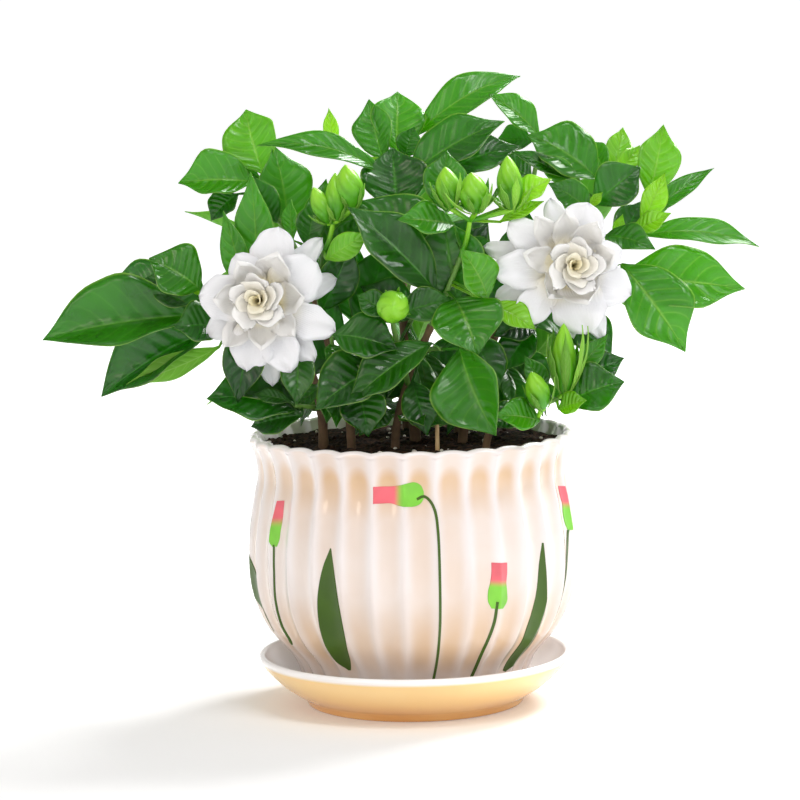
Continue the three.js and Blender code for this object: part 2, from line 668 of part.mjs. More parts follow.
// Flower buds: [base, tip, width], on a stalk that leaves the leafy stem's end. Narrow sepals stand around
// each, given as [count, length, width, lean in degrees], and a spray may carry leaves of its own.
const BUD_SPRAYS = {
  flower_buds_left: {
    stalk: [[-42, 227, 27], [-39, 234, 29], [-37, 242, 30]],
    buds: [
      [[-27, 249, 32], [-30.5, 271, 32], 14],
      [[-35, 243, 32], [-35.5, 267, 30], 11],
      [[-39, 242, 30], [-46.5, 260, 32], 10],
    ],
  },
  flower_buds_middle: {
    stalk: [[26, 224, 36], [29, 232, 38], [31, 242, 41]],
    buds: [
      [[22, 248, 44], [19, 269, 44], 13],
      [[34, 246, 46], [32, 266, 50], 15],
      [[52, 247, 40], [50, 274, 38], 13],
    ],
    leaves: [
      [[50, 249, 36], [72, 262, 32], 12, [-0.2, 0.6, 1], 2],
      [[46, 241, 38], [68, 251, 36], 7, [-0.2, 0.6, 1], 1],
    ],
  },
  flower_bud_round: {
    stalk: [[-8, 197, 50], [-8, 199, 54]],
    buds: [[[-8, 199.5, 52], [-8, 200, 68], 16]],
  },
  flower_bud_low_right: {
    stalk: [[60, 148, 44], [63, 143, 52], [65, 146, 60]],
    buds: [[[66, 147, 60], [60.5, 166, 62], 12]],
    sepals: [4, 17, 3, 37],
  },
  flower_bud_opening: {
    stalk: [[72, 151, 47], [76, 154, 48]],
    buds: [[[77, 155, 48], [77, 190, 50], 12]],
    sepals: [7, 34, 5.5, 17],
  },
};
const BUD_STALK_RADIUS = 1.3;
const BUD_LINK_RADIUS = 1.2;
const BUD_SIDES = 6;

// Turns something built upright on the origin, so that it stands on a point and aims elsewhere
function aimed(geometry, point, direction) {
  geometry.applyQuaternion(new THREE.Quaternion().setFromUnitVectors(new THREE.Vector3(0, 1, 0), direction));
  geometry.translate(...point);
  return solidOf(geometry);
}

function sideways(direction) {
  return direction.clone().cross(new THREE.Vector3(0.31, 0.9, 0.27)).normalize();
}

function budSolid([baseReading, tipReading, width], [count, sepalLength, sepalWidth, lean], seed, extra) {
  const base = seen(baseReading);
  const tip = seen(tipReading);
  const length = base.distanceTo(tip);
  const direction = tip.clone().sub(base).normalize();
  const half = width / 2 + extra;
  const profile = [
    [0, -extra], [half * 0.8, 0.22 * length], [half * 0.9, 0.58 * length], [0, length + extra],
  ];
  const points = profile.map(([radius, height]) => new THREE.Vector2(radius, height));
  const solids = [aimed(new THREE.LatheGeometry(points, BUD_SIDES), base, direction)];
  const draw = seededDraw(seed);
  for (let k = 0; k < count; k++) {
    const turn = 2 * Math.PI * (k + draw(-0.3, 0.3)) / count;
    const out = sideways(direction).applyAxisAngle(direction, turn);
    const tilt = radians(lean * draw(0.7, 1.3));
    const reach = sepalLength * draw(0.7, 1.05);
    const start = base.clone().addScaledVector(out, width * 0.22);
    const way = direction.clone().multiplyScalar(Math.cos(tilt)).addScaledVector(out, Math.sin(tilt));
    solids.push(bladeSolid({
      root: null,
      base: start,
      tip: start.clone().addScaledVector(way, reach),
      face: direction.clone().addScaledVector(out, -0.9),
      width: sepalWidth * draw(0.8, 1.15),
      arch: -0.1 * reach,
      fold: 0,
      wave: 0,
      phase: draw(0, 1),
      thickness: LEAF_THICKNESS,
      stations: [0, ...SLIM_STATIONS],
      profile: leafProfile,
    }, extra));
  }
  return joined(solids);
}

// Blooms: each petal grows from the flower's root and is read as [tip, seen width, face, arch]
const BLOOMS = {
  left: {
    root: [-72, 204, 36],
    heart: [-76, 204, 55],
    stalk: [[-67, 195, 25], [-69, 199, 28], [-71, 202, 33]],
    petals: [
      [[-64, 241, 40], 22, [0, 0.2, 1], 3],
      [[-42, 235, 34], 12, [0.3, 0.3, 1], 2],
      [[-45, 222, 46], 26, [0.2, 0.1, 1], 3],
      [[-35, 214, 36], 13, [0.4, 0, 1], 2],
      [[-37, 187, 48], 18, [0.2, -0.2, 1], 3],
      [[-48, 172, 44], 15, [0.2, -0.4, 1], 2],
      [[-60, 167, 48], 19, [0, -0.3, 1], 3],
      [[-69, 160, 40], 14, [0, -0.3, 1], 3],
      [[-82, 168, 46], 22, [-0.1, -0.3, 1], 3],
      [[-102, 186, 42], 15, [-0.3, -0.2, 1], 3],
      [[-105, 207, 46], 23, [-0.3, 0.1, 1], 3],
      [[-86, 228, 42], 17, [-0.1, 0.3, 1], 3],
      [[-66, 224, 54], 21, [-0.2, -0.4, 1], -4],
      [[-56, 205, 56], 18, [-0.4, 0, 1], -4],
      [[-60, 188, 54], 15, [-0.3, 0.3, 1], -3],
      [[-74, 183, 56], 17, [0, 0.4, 1], -4],
      [[-91, 183, 52], 16, [0.2, 0.3, 1], -3],
      [[-94, 205, 54], 19, [0.4, 0, 1], -4],
      [[-83, 220, 56], 15, [0.3, -0.4, 1], -4],
    ],
  },
  right: {
    root: [80, 218, 34],
    heart: [83, 219, 54],
    stalk: [[74, 205, 24], [77, 210, 26], [79, 215, 31]],
    petals: [
      [[90, 250, 44], 24, [0, 0.2, 1], 3],
      [[71, 253, 36], 13, [-0.1, 0.2, 1], 2],
      [[50, 241, 42], 18, [-0.2, 0.2, 1], 3],
      [[37, 229, 36], 12, [-0.3, 0.1, 1], 2],
      [[42, 217, 46], 20, [-0.2, 0, 1], 3],
      [[43, 203, 40], 12, [-0.3, -0.2, 1], 2],
      [[52.5, 189, 48], 17, [-0.2, -0.2, 1], 3],
      [[88, 184, 48], 27, [0, -0.3, 1], 3],
      [[80, 180, 40], 10, [0, -0.3, 1], 2],
      [[97, 181, 40], 12, [0.2, -0.3, 1], 2],
      [[111, 203, 44], 21, [0.3, -0.1, 1], 3],
      [[107, 226, 44], 16, [0.3, 0.1, 1], 3],
      [[66, 241, 52], 14, [0.3, -0.3, 1], -4],
      [[79, 243, 54], 15, [0.1, -0.5, 1], -4],
      [[93, 237, 54], 17, [-0.2, -0.4, 1], -4],
      [[100, 223, 54], 17, [-0.4, -0.1, 1], -4],
      [[88, 203, 56], 24, [-0.1, 0.4, 1], -4],
      [[72, 206, 54], 17, [0.3, 0.3, 1], -4],
      [[61, 224, 52], 14, [0.5, 0, 1], -3],
    ],
  },
};

const HEART_RADIUS = 9.5;
const HEART_PLACE = 0.45;
const STALK_RADIUS = 1.7;
const CUP = { top: 4, foot: 2, height: 9, sides: 8 };
const CALYX_SEPAL = { count: 4, radius: 1.3, length: 17, sides: 3, lean: 62 };

function petalHead({ root, heart, petals }, extra) {
  const rootPoint = seen(root);
  const heartPoint = seen(heart);
  const core = new THREE.SphereGeometry(HEART_RADIUS + extra, 8, 6);
  core.translate(...rootPoint.clone().lerp(heartPoint, HEART_PLACE));
  const solids = [solidOf(core)];
  petals.forEach(([tip, seenWidth, face, arch], k) => {
    const tipPoint = seen(tip);
    const faceVector = facing(face);
    solids.push(bladeSolid({
      root: null,
      base: rootPoint.clone().lerp(tipPoint, 0.04),
      tip: tipPoint,
      face: faceVector,
      width: trueWidth(rootPoint, tipPoint, faceVector, seenWidth, 10),
      arch,
      fold: arch < 0 ? 20 : 8,
      wave: 0.05,
      phase: 0.37 * k,
      thickness: PETAL_THICKNESS,
      stations: PETAL_STATIONS,
      profile: petalProfile,
    }, extra));
  });
  return joined(solids);
}

function calyx({ root, heart, stalk }, extra) {
  const rootPoint = seen(root);
  const axis = seen(heart).sub(rootPoint).normalize();
  const cup = new THREE.CylinderGeometry(CUP.top + extra, CUP.foot + extra, CUP.height, CUP.sides);
  cup.translate(0, -CUP.height / 2 - 0.5, 0);
  const solids = [stemTube(stalk, STALK_RADIUS + extra, LEAFY_SIDES), aimed(cup, rootPoint, axis)];
  const { count, radius, length, sides, lean } = CALYX_SEPAL;
  for (let k = 0; k < count; k++) {
    const sepal = new THREE.ConeGeometry(radius + extra, length + extra, sides);
    sepal.translate(0, length / 2 - 0.5, 0);
    sepal.rotateZ(-radians(lean));
    sepal.translate(CUP.foot, -0.65 * CUP.height, 0);
    sepal.rotateY(2 * Math.PI * k / count);
    solids.push(aimed(sepal, rootPoint, axis));
  }
  return joined(solids);
}

// Growing the plant. Stems and petals come first and keep clear of each other. Blades then keep clear of
// every other node's stem and of the blades already grown. Calyxes and buds come last and keep clear of
// all the rest.
const growth = [];

function grow(name, material, stem, blades, growsLast = false) {
  growth.push({ name, material, blades, growsLast, stemSleeve: stem(CLEARANCE), solid: stem(0) });
}

for (const [name, { path, radius }] of Object.entries(WOODY_STEMS)) {
  grow(name, bark, (extra) => stemTube(path, radius + extra, WOODY_SIDES), null);
}
grow("plant_stick", dryWood, (extra) => stemTube(STICK.path, STICK.radius + extra, WOODY_SIDES), null);

for (const [side, bloom] of Object.entries(BLOOMS)) {
  grow(`bloom_${side}_petals`, petalWhite, (extra) => petalHead(bloom, extra), null);
}

Object.entries(LEAFY_STEMS).forEach(([name, { path, radius, leaves }], stemNumber) => {
  const curve = stemCurve(path);
  const inner = name.startsWith("leafy_stem_inner");
  const blades = leaves.map((leaf, k) => readLeaf(leaf, curve, 0.37 * k + 0.21 * stemNumber, inner));
  const foliage = (extra) => joined(blades.map((blade) => bladeSolid(blade, extra)));
  grow(name, leafGreen, (extra) => stemTube(path, radius + extra, LEAFY_SIDES), foliage);
});

Object.entries(REAR_STEMS).forEach(([name, [path, count, longest]], stemNumber) => {
  const blades = whorl(path, count, longest, 11 + 7 * stemNumber);
  const foliage = (extra) => joined(blades.map((blade) => bladeSolid(blade, extra)));
  grow(name, leafGreen, (extra) => stemTube(path, REAR_RADIUS + extra, LEAFY_SIDES), foliage);
});

for (const [side, bloom] of Object.entries(BLOOMS)) {
  grow(`bloom_${side}_calyx`, budGreen, (extra) => calyx(bloom, extra), null, true);
}

for (const [name, { stalk, buds, sepals = [0], leaves = [] }] of Object.entries(BUD_SPRAYS)) {
  const curve = stemCurve(stalk);
  const joint = seen(stalk[stalk.length - 1]);
  const blades = leaves.map((leaf, k) => readLeaf(leaf, curve, 0.37 * k, false));
  const spray = (extra) => {
    const heads = buds.map((bud, k) => budSolid(bud, sepals, 31 + 7 * k, extra));
    const links = buds.map(([base]) => {
      const foot = seen(base);
      const radius = BUD_LINK_RADIUS + extra;
      const link = new THREE.CylinderGeometry(radius, radius, joint.distanceTo(foot) + 2, LEAFY_SIDES);
      return aimed(link, joint.clone().lerp(foot, 0.5), foot.clone().sub(joint).normalize());
    });
    const foliage = blades.map((blade) => bladeSolid(blade, extra));
    return joined([stemTube(stalk, BUD_STALK_RADIUS + extra, LEAFY_SIDES), ...links, ...heads, ...foliage]);
  };
  grow(name, budGreen, spray, null, true);
}

growth.forEach((node, place) => {
  for (const earlier of growth.slice(0, place)) node.solid = node.solid.subtract(earlier.stemSleeve);
  node.solid = largestPiece(node.solid);
});

const grownBlades = [];
for (const node of growth.filter(({ blades }) => blades)) {
  let blades = node.blades(0);
  for (const other of growth) {
    if (other !== node && !other.growsLast) blades = blades.subtract(other.stemSleeve);
  }
  for (const sleeve of grownBlades) blades = blades.subtract(sleeve);
  grownBlades.push(node.blades(CLEARANCE));
  node.solid = largestPiece(node.solid.add(blades));
}
for (const node of growth.filter(({ growsLast }) => growsLast)) {
  for (const sleeve of grownBlades) node.solid = node.solid.subtract(sleeve);
  node.solid = largestPiece(node.solid);
}

const plant = new THREE.Group();
plant.add(saucer());
plant.add(meshOf("pot", pot(), whiteGlaze));
plant.add(meshOf("potting_soil", soil([...Object.values(WOODY_STEMS), STICK]), soilBrown));
for (const { name, solid, material } of growth) plant.add(meshOf(name, solid, material));

export default plant;
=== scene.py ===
# The looks of a potted gardenia in flower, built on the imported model. Readings are in millimetres.
import math

import bpy
import numpy as np
from mathutils import Matrix, Vector


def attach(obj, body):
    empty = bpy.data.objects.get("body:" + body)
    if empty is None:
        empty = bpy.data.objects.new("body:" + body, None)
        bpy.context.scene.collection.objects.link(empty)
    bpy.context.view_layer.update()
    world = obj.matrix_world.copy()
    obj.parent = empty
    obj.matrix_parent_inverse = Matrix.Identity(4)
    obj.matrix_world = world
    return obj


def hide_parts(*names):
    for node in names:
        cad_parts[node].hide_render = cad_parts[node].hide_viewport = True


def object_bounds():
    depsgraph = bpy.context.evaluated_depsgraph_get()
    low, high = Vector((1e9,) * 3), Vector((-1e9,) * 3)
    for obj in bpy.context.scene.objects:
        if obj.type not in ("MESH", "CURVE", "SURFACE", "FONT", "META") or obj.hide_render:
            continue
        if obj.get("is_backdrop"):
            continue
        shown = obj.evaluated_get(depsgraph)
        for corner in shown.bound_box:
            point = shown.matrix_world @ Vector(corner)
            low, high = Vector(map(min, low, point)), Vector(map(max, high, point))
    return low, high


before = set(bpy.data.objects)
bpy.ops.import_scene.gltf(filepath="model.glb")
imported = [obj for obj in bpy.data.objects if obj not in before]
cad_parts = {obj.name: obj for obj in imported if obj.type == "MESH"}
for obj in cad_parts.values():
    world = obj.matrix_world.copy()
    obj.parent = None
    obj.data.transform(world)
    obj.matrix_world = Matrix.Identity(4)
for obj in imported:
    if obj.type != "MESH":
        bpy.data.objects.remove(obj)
cad_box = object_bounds()

# Driving sizes in millimetres. Folds and turns are in degrees, and a leaf's wave is a share of its width.
MM = 0.001
RIM_HEIGHT = 137
RIM_RADIUS = 81.5
SAUCER_FLOOR = 5.8
FLUTES = 32
FLUTE_DEPTH = 2.2
FLUTE_TURN = math.radians(-3)
POT_WALL = 4.5
POT_FOOT = SAUCER_FLOOR + 0.3
POT_FLOOR = 6
DRAIN_RADIUS = 7
SOIL_TOP = RIM_HEIGHT - 5.5
LEAF_THICKNESS = 0.5
PETAL_THICKNESS = 0.6
PETIOLE_WIDTH = 1.6
LEAF_FOLD = 20
LEAF_WAVE = 0.05
LEAF_WAVES = 2.3
GOLDEN_ANGLE = 137.5
REAR_RADIUS = 1.4
REAR_TIP_RADIUS = 1.1
BUD_STALK_RADIUS = 1.3
BUD_LINK_RADIUS = 1.2
BUD_FOOT_RADIUS = 1.4
STALK_RADIUS = 1.7
CUP_LEVELS = (-9.5, -5, -0.5)

# Where the viewer in front of the plant stands, and the camera there
VIEWER = np.array([0.0, -1800.0, 372.0])
VIEW_TARGET = np.array([-5.3, 0.0, 152.8])
VIEW_ROLL = math.radians(1.0)
UPRIGHT = np.array([0.0, 0.0, 1.0])
PIXELS = 800
PIXELS_PER_MM = 2.0
SENSOR = 36.0


def seen(reading):
    """A reading [right, up, front] as a point: its place on the upright plane through the pot's axis as the
    viewer sees it, and how far in front of that plane it lies."""
    right, up, front = reading
    on_plane = np.array([right, 0.0, up])
    return on_plane + (VIEWER - on_plane) * (front / -VIEWER[1])


def facing(reading):
    """The direction that a face is turned to: [right, up, front], or [right, up] where its front is 1."""
    right, up, front = [*reading, 1][:3]
    return np.array([right, -front, up], dtype=float)


def unit(vector):
    return vector / np.linalg.norm(vector)


def seeded_draw(seed):
    state = [seed]

    def draw(low, high):
        state[0] = (state[0] * 16807) % 2147483647
        return low + (high - low) * (state[0] / 2147483647)

    return draw


def smoothstep(value, low, high):
    share = np.clip((value - low) / (high - low), 0, 1)
    return share * share * (3 - 2 * share)


class Curve:
    """A smooth curve through points, which keeps close to them where they are unevenly spaced."""

    def __init__(self, points):
        self.points = [np.asarray(point, dtype=float) for point in points]

    def point(self, share):
        points = self.points
        last = len(points) - 1
        place = min(max(share, 0.0), 1.0) * last
        start = min(int(place), last - 1)
        weight = place - start
        before = points[start - 1] if start > 0 else 2 * points[0] - points[1]
        after = points[start + 2] if start + 2 <= last else 2 * points[last] - points[last - 1]
        one, two = points[start], points[start + 1]
        gaps = [np.linalg.norm(b - a) ** 0.5 for a, b in ((before, one), (one, two), (two, after))]
        first = (one - before) / gaps[0] - (two - before) / (gaps[0] + gaps[1]) + (two - one) / gaps[1]
        second = (two - one) / gaps[1] - (after - one) / (gaps[1] + gaps[2]) + (after - two) / gaps[2]
        first, second = first * gaps[1], second * gaps[1]
        square = -3 * one + 3 * two - 2 * first - second
        cube = 2 * one - 2 * two + first + second
        return one + first * weight + square * weight ** 2 + cube * weight ** 3

    def tangent(self, share):
        return unit(self.point(min(share + 1e-4, 1)) - self.point(max(share - 1e-4, 0)))

    def nearest(self, target):
        places = [self.point(k / 24) for k in range(25)]
        return min(places, key=lambda place: np.linalg.norm(place - target))


def stem_curve(path):
    return Curve([seen(reading) for reading in path])


# Materials: each is a node tree around one main shader, with a second one where light passes through
class Tree:
    """Short names for the nodes of a material."""

    def __init__(self, name):
        self.material = bpy.data.materials.new(name)
        self.material.use_nodes = True
        self.nodes = self.material.node_tree.nodes
        self.links = self.material.node_tree.links
        self.shader = self.nodes["Principled BSDF"]
        self.output = self.nodes["Material Output"]

    def put(self, socket, value):
        if isinstance(value, bpy.types.NodeSocket):
            self.links.new(value, socket)
        elif value is not None:
            socket.default_value = value

    def math(self, operation, first, second=None, third=None):
        node = self.nodes.new("ShaderNodeMath")
        node.operation = operation
        for socket, value in zip(node.inputs, (first, second, third)):
            self.put(socket, value)
        return node.outputs[0]

    def times(self, first, second):
        return self.math("MULTIPLY", first, second)

    def ramp(self, value, low, high, out_low=0.0, out_high=1.0, smooth=True):
        node = self.nodes.new("ShaderNodeMapRange")
        node.interpolation_type = "SMOOTHSTEP" if smooth else "LINEAR"
        for socket, entry in zip(node.inputs, (value, low, high, out_low, out_high)):
            self.put(socket, entry)
        return node.outputs[0]

    def mix(self, share, first, second):
        node = self.nodes.new("ShaderNodeMix")
        node.data_type = "RGBA"
        for number, entry in ((0, share), (6, first), (7, second)):
            self.put(node.inputs[number], entry)
        return node.outputs[2]

    def noise(self, scale, detail=3.0):
        node = self.nodes.new("ShaderNodeTexNoise")
        for name, entry in (("Scale", scale), ("Detail", detail), ("Vector", self.place())):
            self.put(node.inputs[name], entry)
        return node.outputs[0]

    def place(self):
        return self.nodes.new("ShaderNodeTexCoord").outputs["Object"]

    def height(self):
        node = self.nodes.new("ShaderNodeSeparateXYZ")
        self.links.new(self.place(), node.inputs[0])
        return node.outputs[2]

    def attribute(self, name, output="Fac"):
        node = self.nodes.new("ShaderNodeAttribute")
        node.attribute_name = name
        return node.outputs[output]

    def blade_place(self):
        """How far along the blade from 0 to 1, and how far across from -1 to 1."""
        node = self.nodes.new("ShaderNodeSeparateXYZ")
        self.links.new(self.nodes.new("ShaderNodeTexCoord").outputs["UV"], node.inputs[0])
        across = self.math("MULTIPLY_ADD", node.outputs[1], 2.0, -1.0)
        return node.outputs[0], across

    def bump(self, height, strength, distance):
        node = self.nodes.new("ShaderNodeBump")
        for name, entry in (("Strength", strength), ("Distance", distance), ("Height", height)):
            self.put(node.inputs[name], entry)
        self.put(self.shader.inputs["Normal"], node.outputs[0])

    def finish(self, color, roughness, **constants):
        self.put(self.shader.inputs["Base Color"], color)
        self.put(self.shader.inputs["Roughness"], roughness)
        for name, value in constants.items():
            self.shader.inputs[name.replace("_", " ")].default_value = value
        return self.material

    def let_light_through(self, color, share):
        through = self.nodes.new("ShaderNodeBsdfTranslucent")
        mixed = self.nodes.new("ShaderNodeMixShader")
        self.put(through.inputs["Color"], color)
        mixed.inputs[0].default_value = share
        self.links.new(self.shader.outputs[0], mixed.inputs[1])
        self.links.new(through.outputs[0], mixed.inputs[2])
        self.links.new(mixed.outputs[0], self.output.inputs["Surface"])


def srgb(red, green, blue):
    """A colour from its 0 to 255 display values."""
    def linear(value):
        share = value / 255
        return share / 12.92 if share <= 0.04045 else ((share + 0.055) / 1.055) ** 2.4
    return (linear(red), linear(green), linear(blue), 1.0)


def leaf_material(name, upper):
    tree = Tree(name)
    along, across = tree.blade_place()
    side = tree.math("ABSOLUTE", across)
    tone = tree.attribute("tone")
    # Side veins leave the midrib and bend towards the tip
    vein_turn = tree.times(tree.math("POWER", side, 1.25), 0.2)
    wobble = tree.times(tree.noise(45.0, 2.0), 0.06)
    vein_phase = tree.times(tree.math("ADD", tree.math("SUBTRACT", along, vein_turn), wobble), 8.0)
    wave = tree.math("PINGPONG", vein_phase, 0.5)
    vein = tree.times(tree.ramp(wave, 0.0, 0.1, 1.0, 0.0), tree.ramp(side, 0.7, 0.97, 1.0, 0.0))
    midrib = tree.ramp(side, 0.0, tree.ramp(along, 0.0, 1.0, 0.11, 0.04, False), 1.0, 0.0)
    # A painted light rim along the leaf's edge, where light shines through the thin margin
    rim = tree.ramp(side, 0.94, 1.0)
    mottle = tree.noise(38.0, 4.0)
    if upper:
        dark, middle, fresh = srgb(8, 40, 6), srgb(60, 146, 6), srgb(166, 232, 28)
        dark_vein, fresh_vein = srgb(62, 136, 26), srgb(190, 234, 96)
    else:
        dark, middle, fresh = srgb(84, 138, 52), srgb(120, 176, 60), srgb(166, 220, 84)
        dark_vein, fresh_vein = srgb(140, 182, 96), srgb(204, 236, 132)
    low = tree.mix(tree.ramp(tone, 0.0, 0.5, smooth=False), dark, middle)
    blade = tree.mix(tree.ramp(tone, 0.5, 1.0, smooth=False), low, fresh)
    blade = tree.mix(tree.ramp(mottle, 0.35, 0.75, 0.0, 0.45), blade, middle)
    ribs = tree.mix(tone, dark_vein, fresh_vein)
    blade = tree.mix(tree.times(vein, tree.ramp(tone, 0.0, 1.0, 0.26, 0.62)), blade, ribs)
    blade = tree.mix(tree.times(midrib, 0.75), blade, ribs)
    # The painted light rim, pale lime at the edge
    blade = tree.mix(tree.times(rim, 0.45), blade, fresh_vein)
    quilt = tree.times(tree.ramp(wave, 0.0, 0.5), tree.ramp(side, 0.75, 1.0, 1.0, 0.0))
    height = tree.math("ADD", quilt, tree.times(midrib, -0.8 if upper else 0.8))
    tree.bump(height, 0.8 if upper else 0.5, 0.00055)
    roughness = tree.ramp(mottle, 0.3, 0.8, 0.22, 0.4) if upper else 0.5
    gloss = 0.22 if upper else 0.0
    material = tree.finish(
        blade, roughness, Specular_IOR_Level=0.65 if upper else 0.3, Coat_Weight=gloss, Coat_Roughness=0.1)
    tree.let_light_through(tree.mix(tone, srgb(110, 206, 8), srgb(196, 250, 44)), 0.36)
    return material


def petal_material():
    tree = Tree("petal_white")
    along, across = tree.blade_place()
    fine_veins = tree.math("SINE", tree.times(across, 60.0))
    near_heart = tree.ramp(along, 0.1, 0.62, 1.0, 0.0)
    # Outer petals are white and turn cream near the heart; the heart's own petals are cream all over
    tone = tree.attribute("tone")
    cream = tree.times(near_heart, tree.math("MINIMUM", tone, 1.0))
    cream = tree.math("ADD", cream, tree.math("MAXIMUM", tree.math("SUBTRACT", tone, 1.0), 0.0))
    color = tree.mix(tree.math("MINIMUM", cream, 1.0), srgb(236, 236, 240), srgb(246, 233, 176))
    tree.bump(tree.times(fine_veins, tree.ramp(along, 0.1, 0.9, 1.0, 0.2)), 0.25, 0.0004)
    material = tree.finish(color, 0.55, Specular_IOR_Level=0.3)
    tree.let_light_through(srgb(255, 254, 248), 0.16)
    return material


def bud_material():
    tree = Tree("bud_green")
    along, across = tree.blade_place()
    tone = tree.ramp(along, 0.15, 0.95)
    streaks = tree.noise(90.0, 2.0)
    color = tree.mix(tone, srgb(66, 148, 16), srgb(150, 214, 50))
    color = tree.mix(tree.ramp(streaks, 0.4, 0.7, 0.0, 0.35), color, srgb(104, 188, 28))
    material = tree.finish(color, 0.32, Specular_IOR_Level=0.45)
    tree.let_light_through(srgb(170, 230, 60), 0.15)
    return material


# Two colours mixed by a noise that also raises the surface: the noise's scale and detail, the colours, the
# roughness, and how strongly and how far in metres the surface is raised
MOTTLED = {
    "stem_green": (120.0, 3.0, (70, 120, 40), (120, 160, 70), 0.5, 0.0, 0.001),
    "brown_bark": (160.0, 6.0, (64, 44, 30), (138, 108, 78), 0.8, 0.6, 0.0008),
    "dry_wood": (220.0, 4.0, (196, 150, 100), (236, 206, 160), 0.7, 0.4, 0.0004),
    "white_grain": (700.0, 4.0, (214, 198, 184), (250, 244, 240), 0.8, 0.7, 0.0006),
}


def mottled_material(name):
    scale, detail, dark, light, roughness, relief, depth = MOTTLED[name]
    tree = Tree(name)
    mottle = tree.noise(scale, detail)
    tree.bump(mottle, relief, depth)
    return tree.finish(tree.mix(mottle, srgb(*dark), srgb(*light)), roughness)


def soil_material():
    tree = Tree("potting_soil")
    crumbs = tree.noise(420.0, 8.0)
    color = tree.mix(tree.ramp(crumbs, 0.35, 0.75), srgb(20, 13, 9), srgb(78, 54, 38))
    tree.bump(crumbs, 1.0, 0.0022)
    return tree.finish(color, 0.95, Specular_IOR_Level=0.2)


def white_glaze_material():
    tree = Tree("white_glaze")
    groove = tree.attribute("groove")
    up = tree.height()
    cloud = tree.noise(17.0, 3.0)
    soft_groove = tree.ramp(groove, 0.15, 0.98)
    # Near the foot, a painted warm reflection from the saucer and table below, stronger in the grooves
    low_reflection_share = tree.times(tree.ramp(up, 0.035, 0.09, 0.78, 0.0), tree.ramp(up, 0.016, 0.034))
    painted_low_reflection = tree.times(low_reflection_share, tree.math("MULTIPLY_ADD", soft_groove, 0.55, 0.45))
    # Under the lip each groove holds a painted warm shade with a rounded top
    arch_height = tree.math("MULTIPLY_ADD", tree.math("SUBTRACT", 1.0, groove), 0.008, up)
    arch_top = tree.ramp(arch_height, 0.1235, 0.1355, 1.0, 0.0)
    arch = tree.times(tree.ramp(up, 0.088, 0.126), arch_top)
    arch = tree.times(arch, tree.ramp(groove, 0.0, 0.9))
    # Painted shade in each groove down the body, with the ridges left white
    body = tree.times(soft_groove, 0.34)
    # The painted shade and reflection together, made uneven by the cloud, tint the glaze warm
    painted_shade_and_reflection = tree.math("MAXIMUM", tree.math("MAXIMUM", painted_low_reflection, tree.times(arch, 0.85)), body)
    painted_shade_and_reflection = tree.times(painted_shade_and_reflection, tree.ramp(cloud, 0.3, 0.7, 0.6, 1.0))
    color = tree.mix(tree.ramp(cloud, 0.35, 0.7, 0.0, 0.5), srgb(230, 223, 222), srgb(220, 207, 202))
    color = tree.mix(painted_shade_and_reflection, color, srgb(208, 166, 114))
    tree.bump(tree.noise(35.0, 2.0), 0.12, 0.0008)
    return tree.finish(color, 0.14, Specular_IOR_Level=0.5, Coat_Weight=0.4, Coat_Roughness=0.06)


def tan_glaze_material():
    tree = Tree("tan_glaze")
    outside = tree.attribute("outside")
    cloud = tree.noise(22.0, 3.0)
    tan = tree.mix(tree.ramp(tree.height(), 0.0, 0.02), srgb(222, 162, 94), srgb(250, 214, 150))
    tan = tree.mix(tree.ramp(cloud, 0.35, 0.7, 0.0, 0.4), tan, srgb(244, 202, 136))
    white = tree.mix(tree.ramp(cloud, 0.3, 0.7, 0.0, 0.4), srgb(250, 247, 246), srgb(240, 234, 231))
    tree.bump(tree.noise(30.0, 2.0), 0.1, 0.0008)
    color = tree.mix(outside, white, tan)
    return tree.finish(color, 0.18, Specular_IOR_Level=0.5, Coat_Weight=0.3, Coat_Roughness=0.1)


def paint_material():
    tree = Tree("painted_ornament")
    shade = tree.ramp(tree.noise(90.0, 2.0), 0.3, 0.7, 0.0, 0.16)
    brushed = tree.mix(shade, tree.attribute("paint", "Color"), srgb(26, 40, 18))
    return tree.finish(brushed, 0.3, Specular_IOR_Level=0.4)


# Meshes: pieces gather grids of points in millimetres and become one object each
class Gather:
    def __init__(self):
        self.points = []
        self.faces = []
        self.uvs = []
        self.tones = []
        self.slots = []
        self.count = 0

    def add(self, points, faces, uvs, tone, slot):
        """points is an (n, 3) array, uvs an (n, 2) array, and tone one number or one for each point."""
        self.points.append(points)
        self.uvs.append(uvs)
        self.tones.append(np.broadcast_to(np.asarray(tone, dtype=float), (len(points),)))
        self.faces += [tuple(self.count + corner for corner in face) for face in faces]
        self.slots += [slot] * len(faces)
        self.count += len(points)

    def piece(self, name, materials, attributes):
        points = np.concatenate(self.points) * MM
        mesh = bpy.data.meshes.new(name)
        mesh.from_pydata(points.tolist(), [], self.faces)
        for material in materials:
            mesh.materials.append(material)
        mesh.polygons.foreach_set("material_index", self.slots)
        mesh.polygons.foreach_set("use_smooth", [True] * len(self.faces))
        corners = np.empty(len(mesh.loops), dtype=np.int32)
        mesh.loops.foreach_get("vertex_index", corners)
        layer = mesh.uv_layers.new(name="UVMap")
        layer.data.foreach_set("uv", np.concatenate(self.uvs)[corners].ravel())
        for attribute in attributes:
            values = mesh.attributes.new(attribute, "FLOAT", "POINT").data
            values.foreach_set("value", np.concatenate(self.tones))
        mesh.validate()
        mesh.update()
        piece = bpy.data.objects.new(name, mesh)
        bpy.context.scene.collection.objects.link(piece)
        return piece


def finish_piece(gather, name, materials, node, attributes=("tone",)):
    """The gathered mesh as an object that stands for a node, if one is named, and takes its slot's finish."""
    piece = gather.piece(name, materials, attributes)
    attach(piece, "root")
    if node:
        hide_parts(node)
    return piece


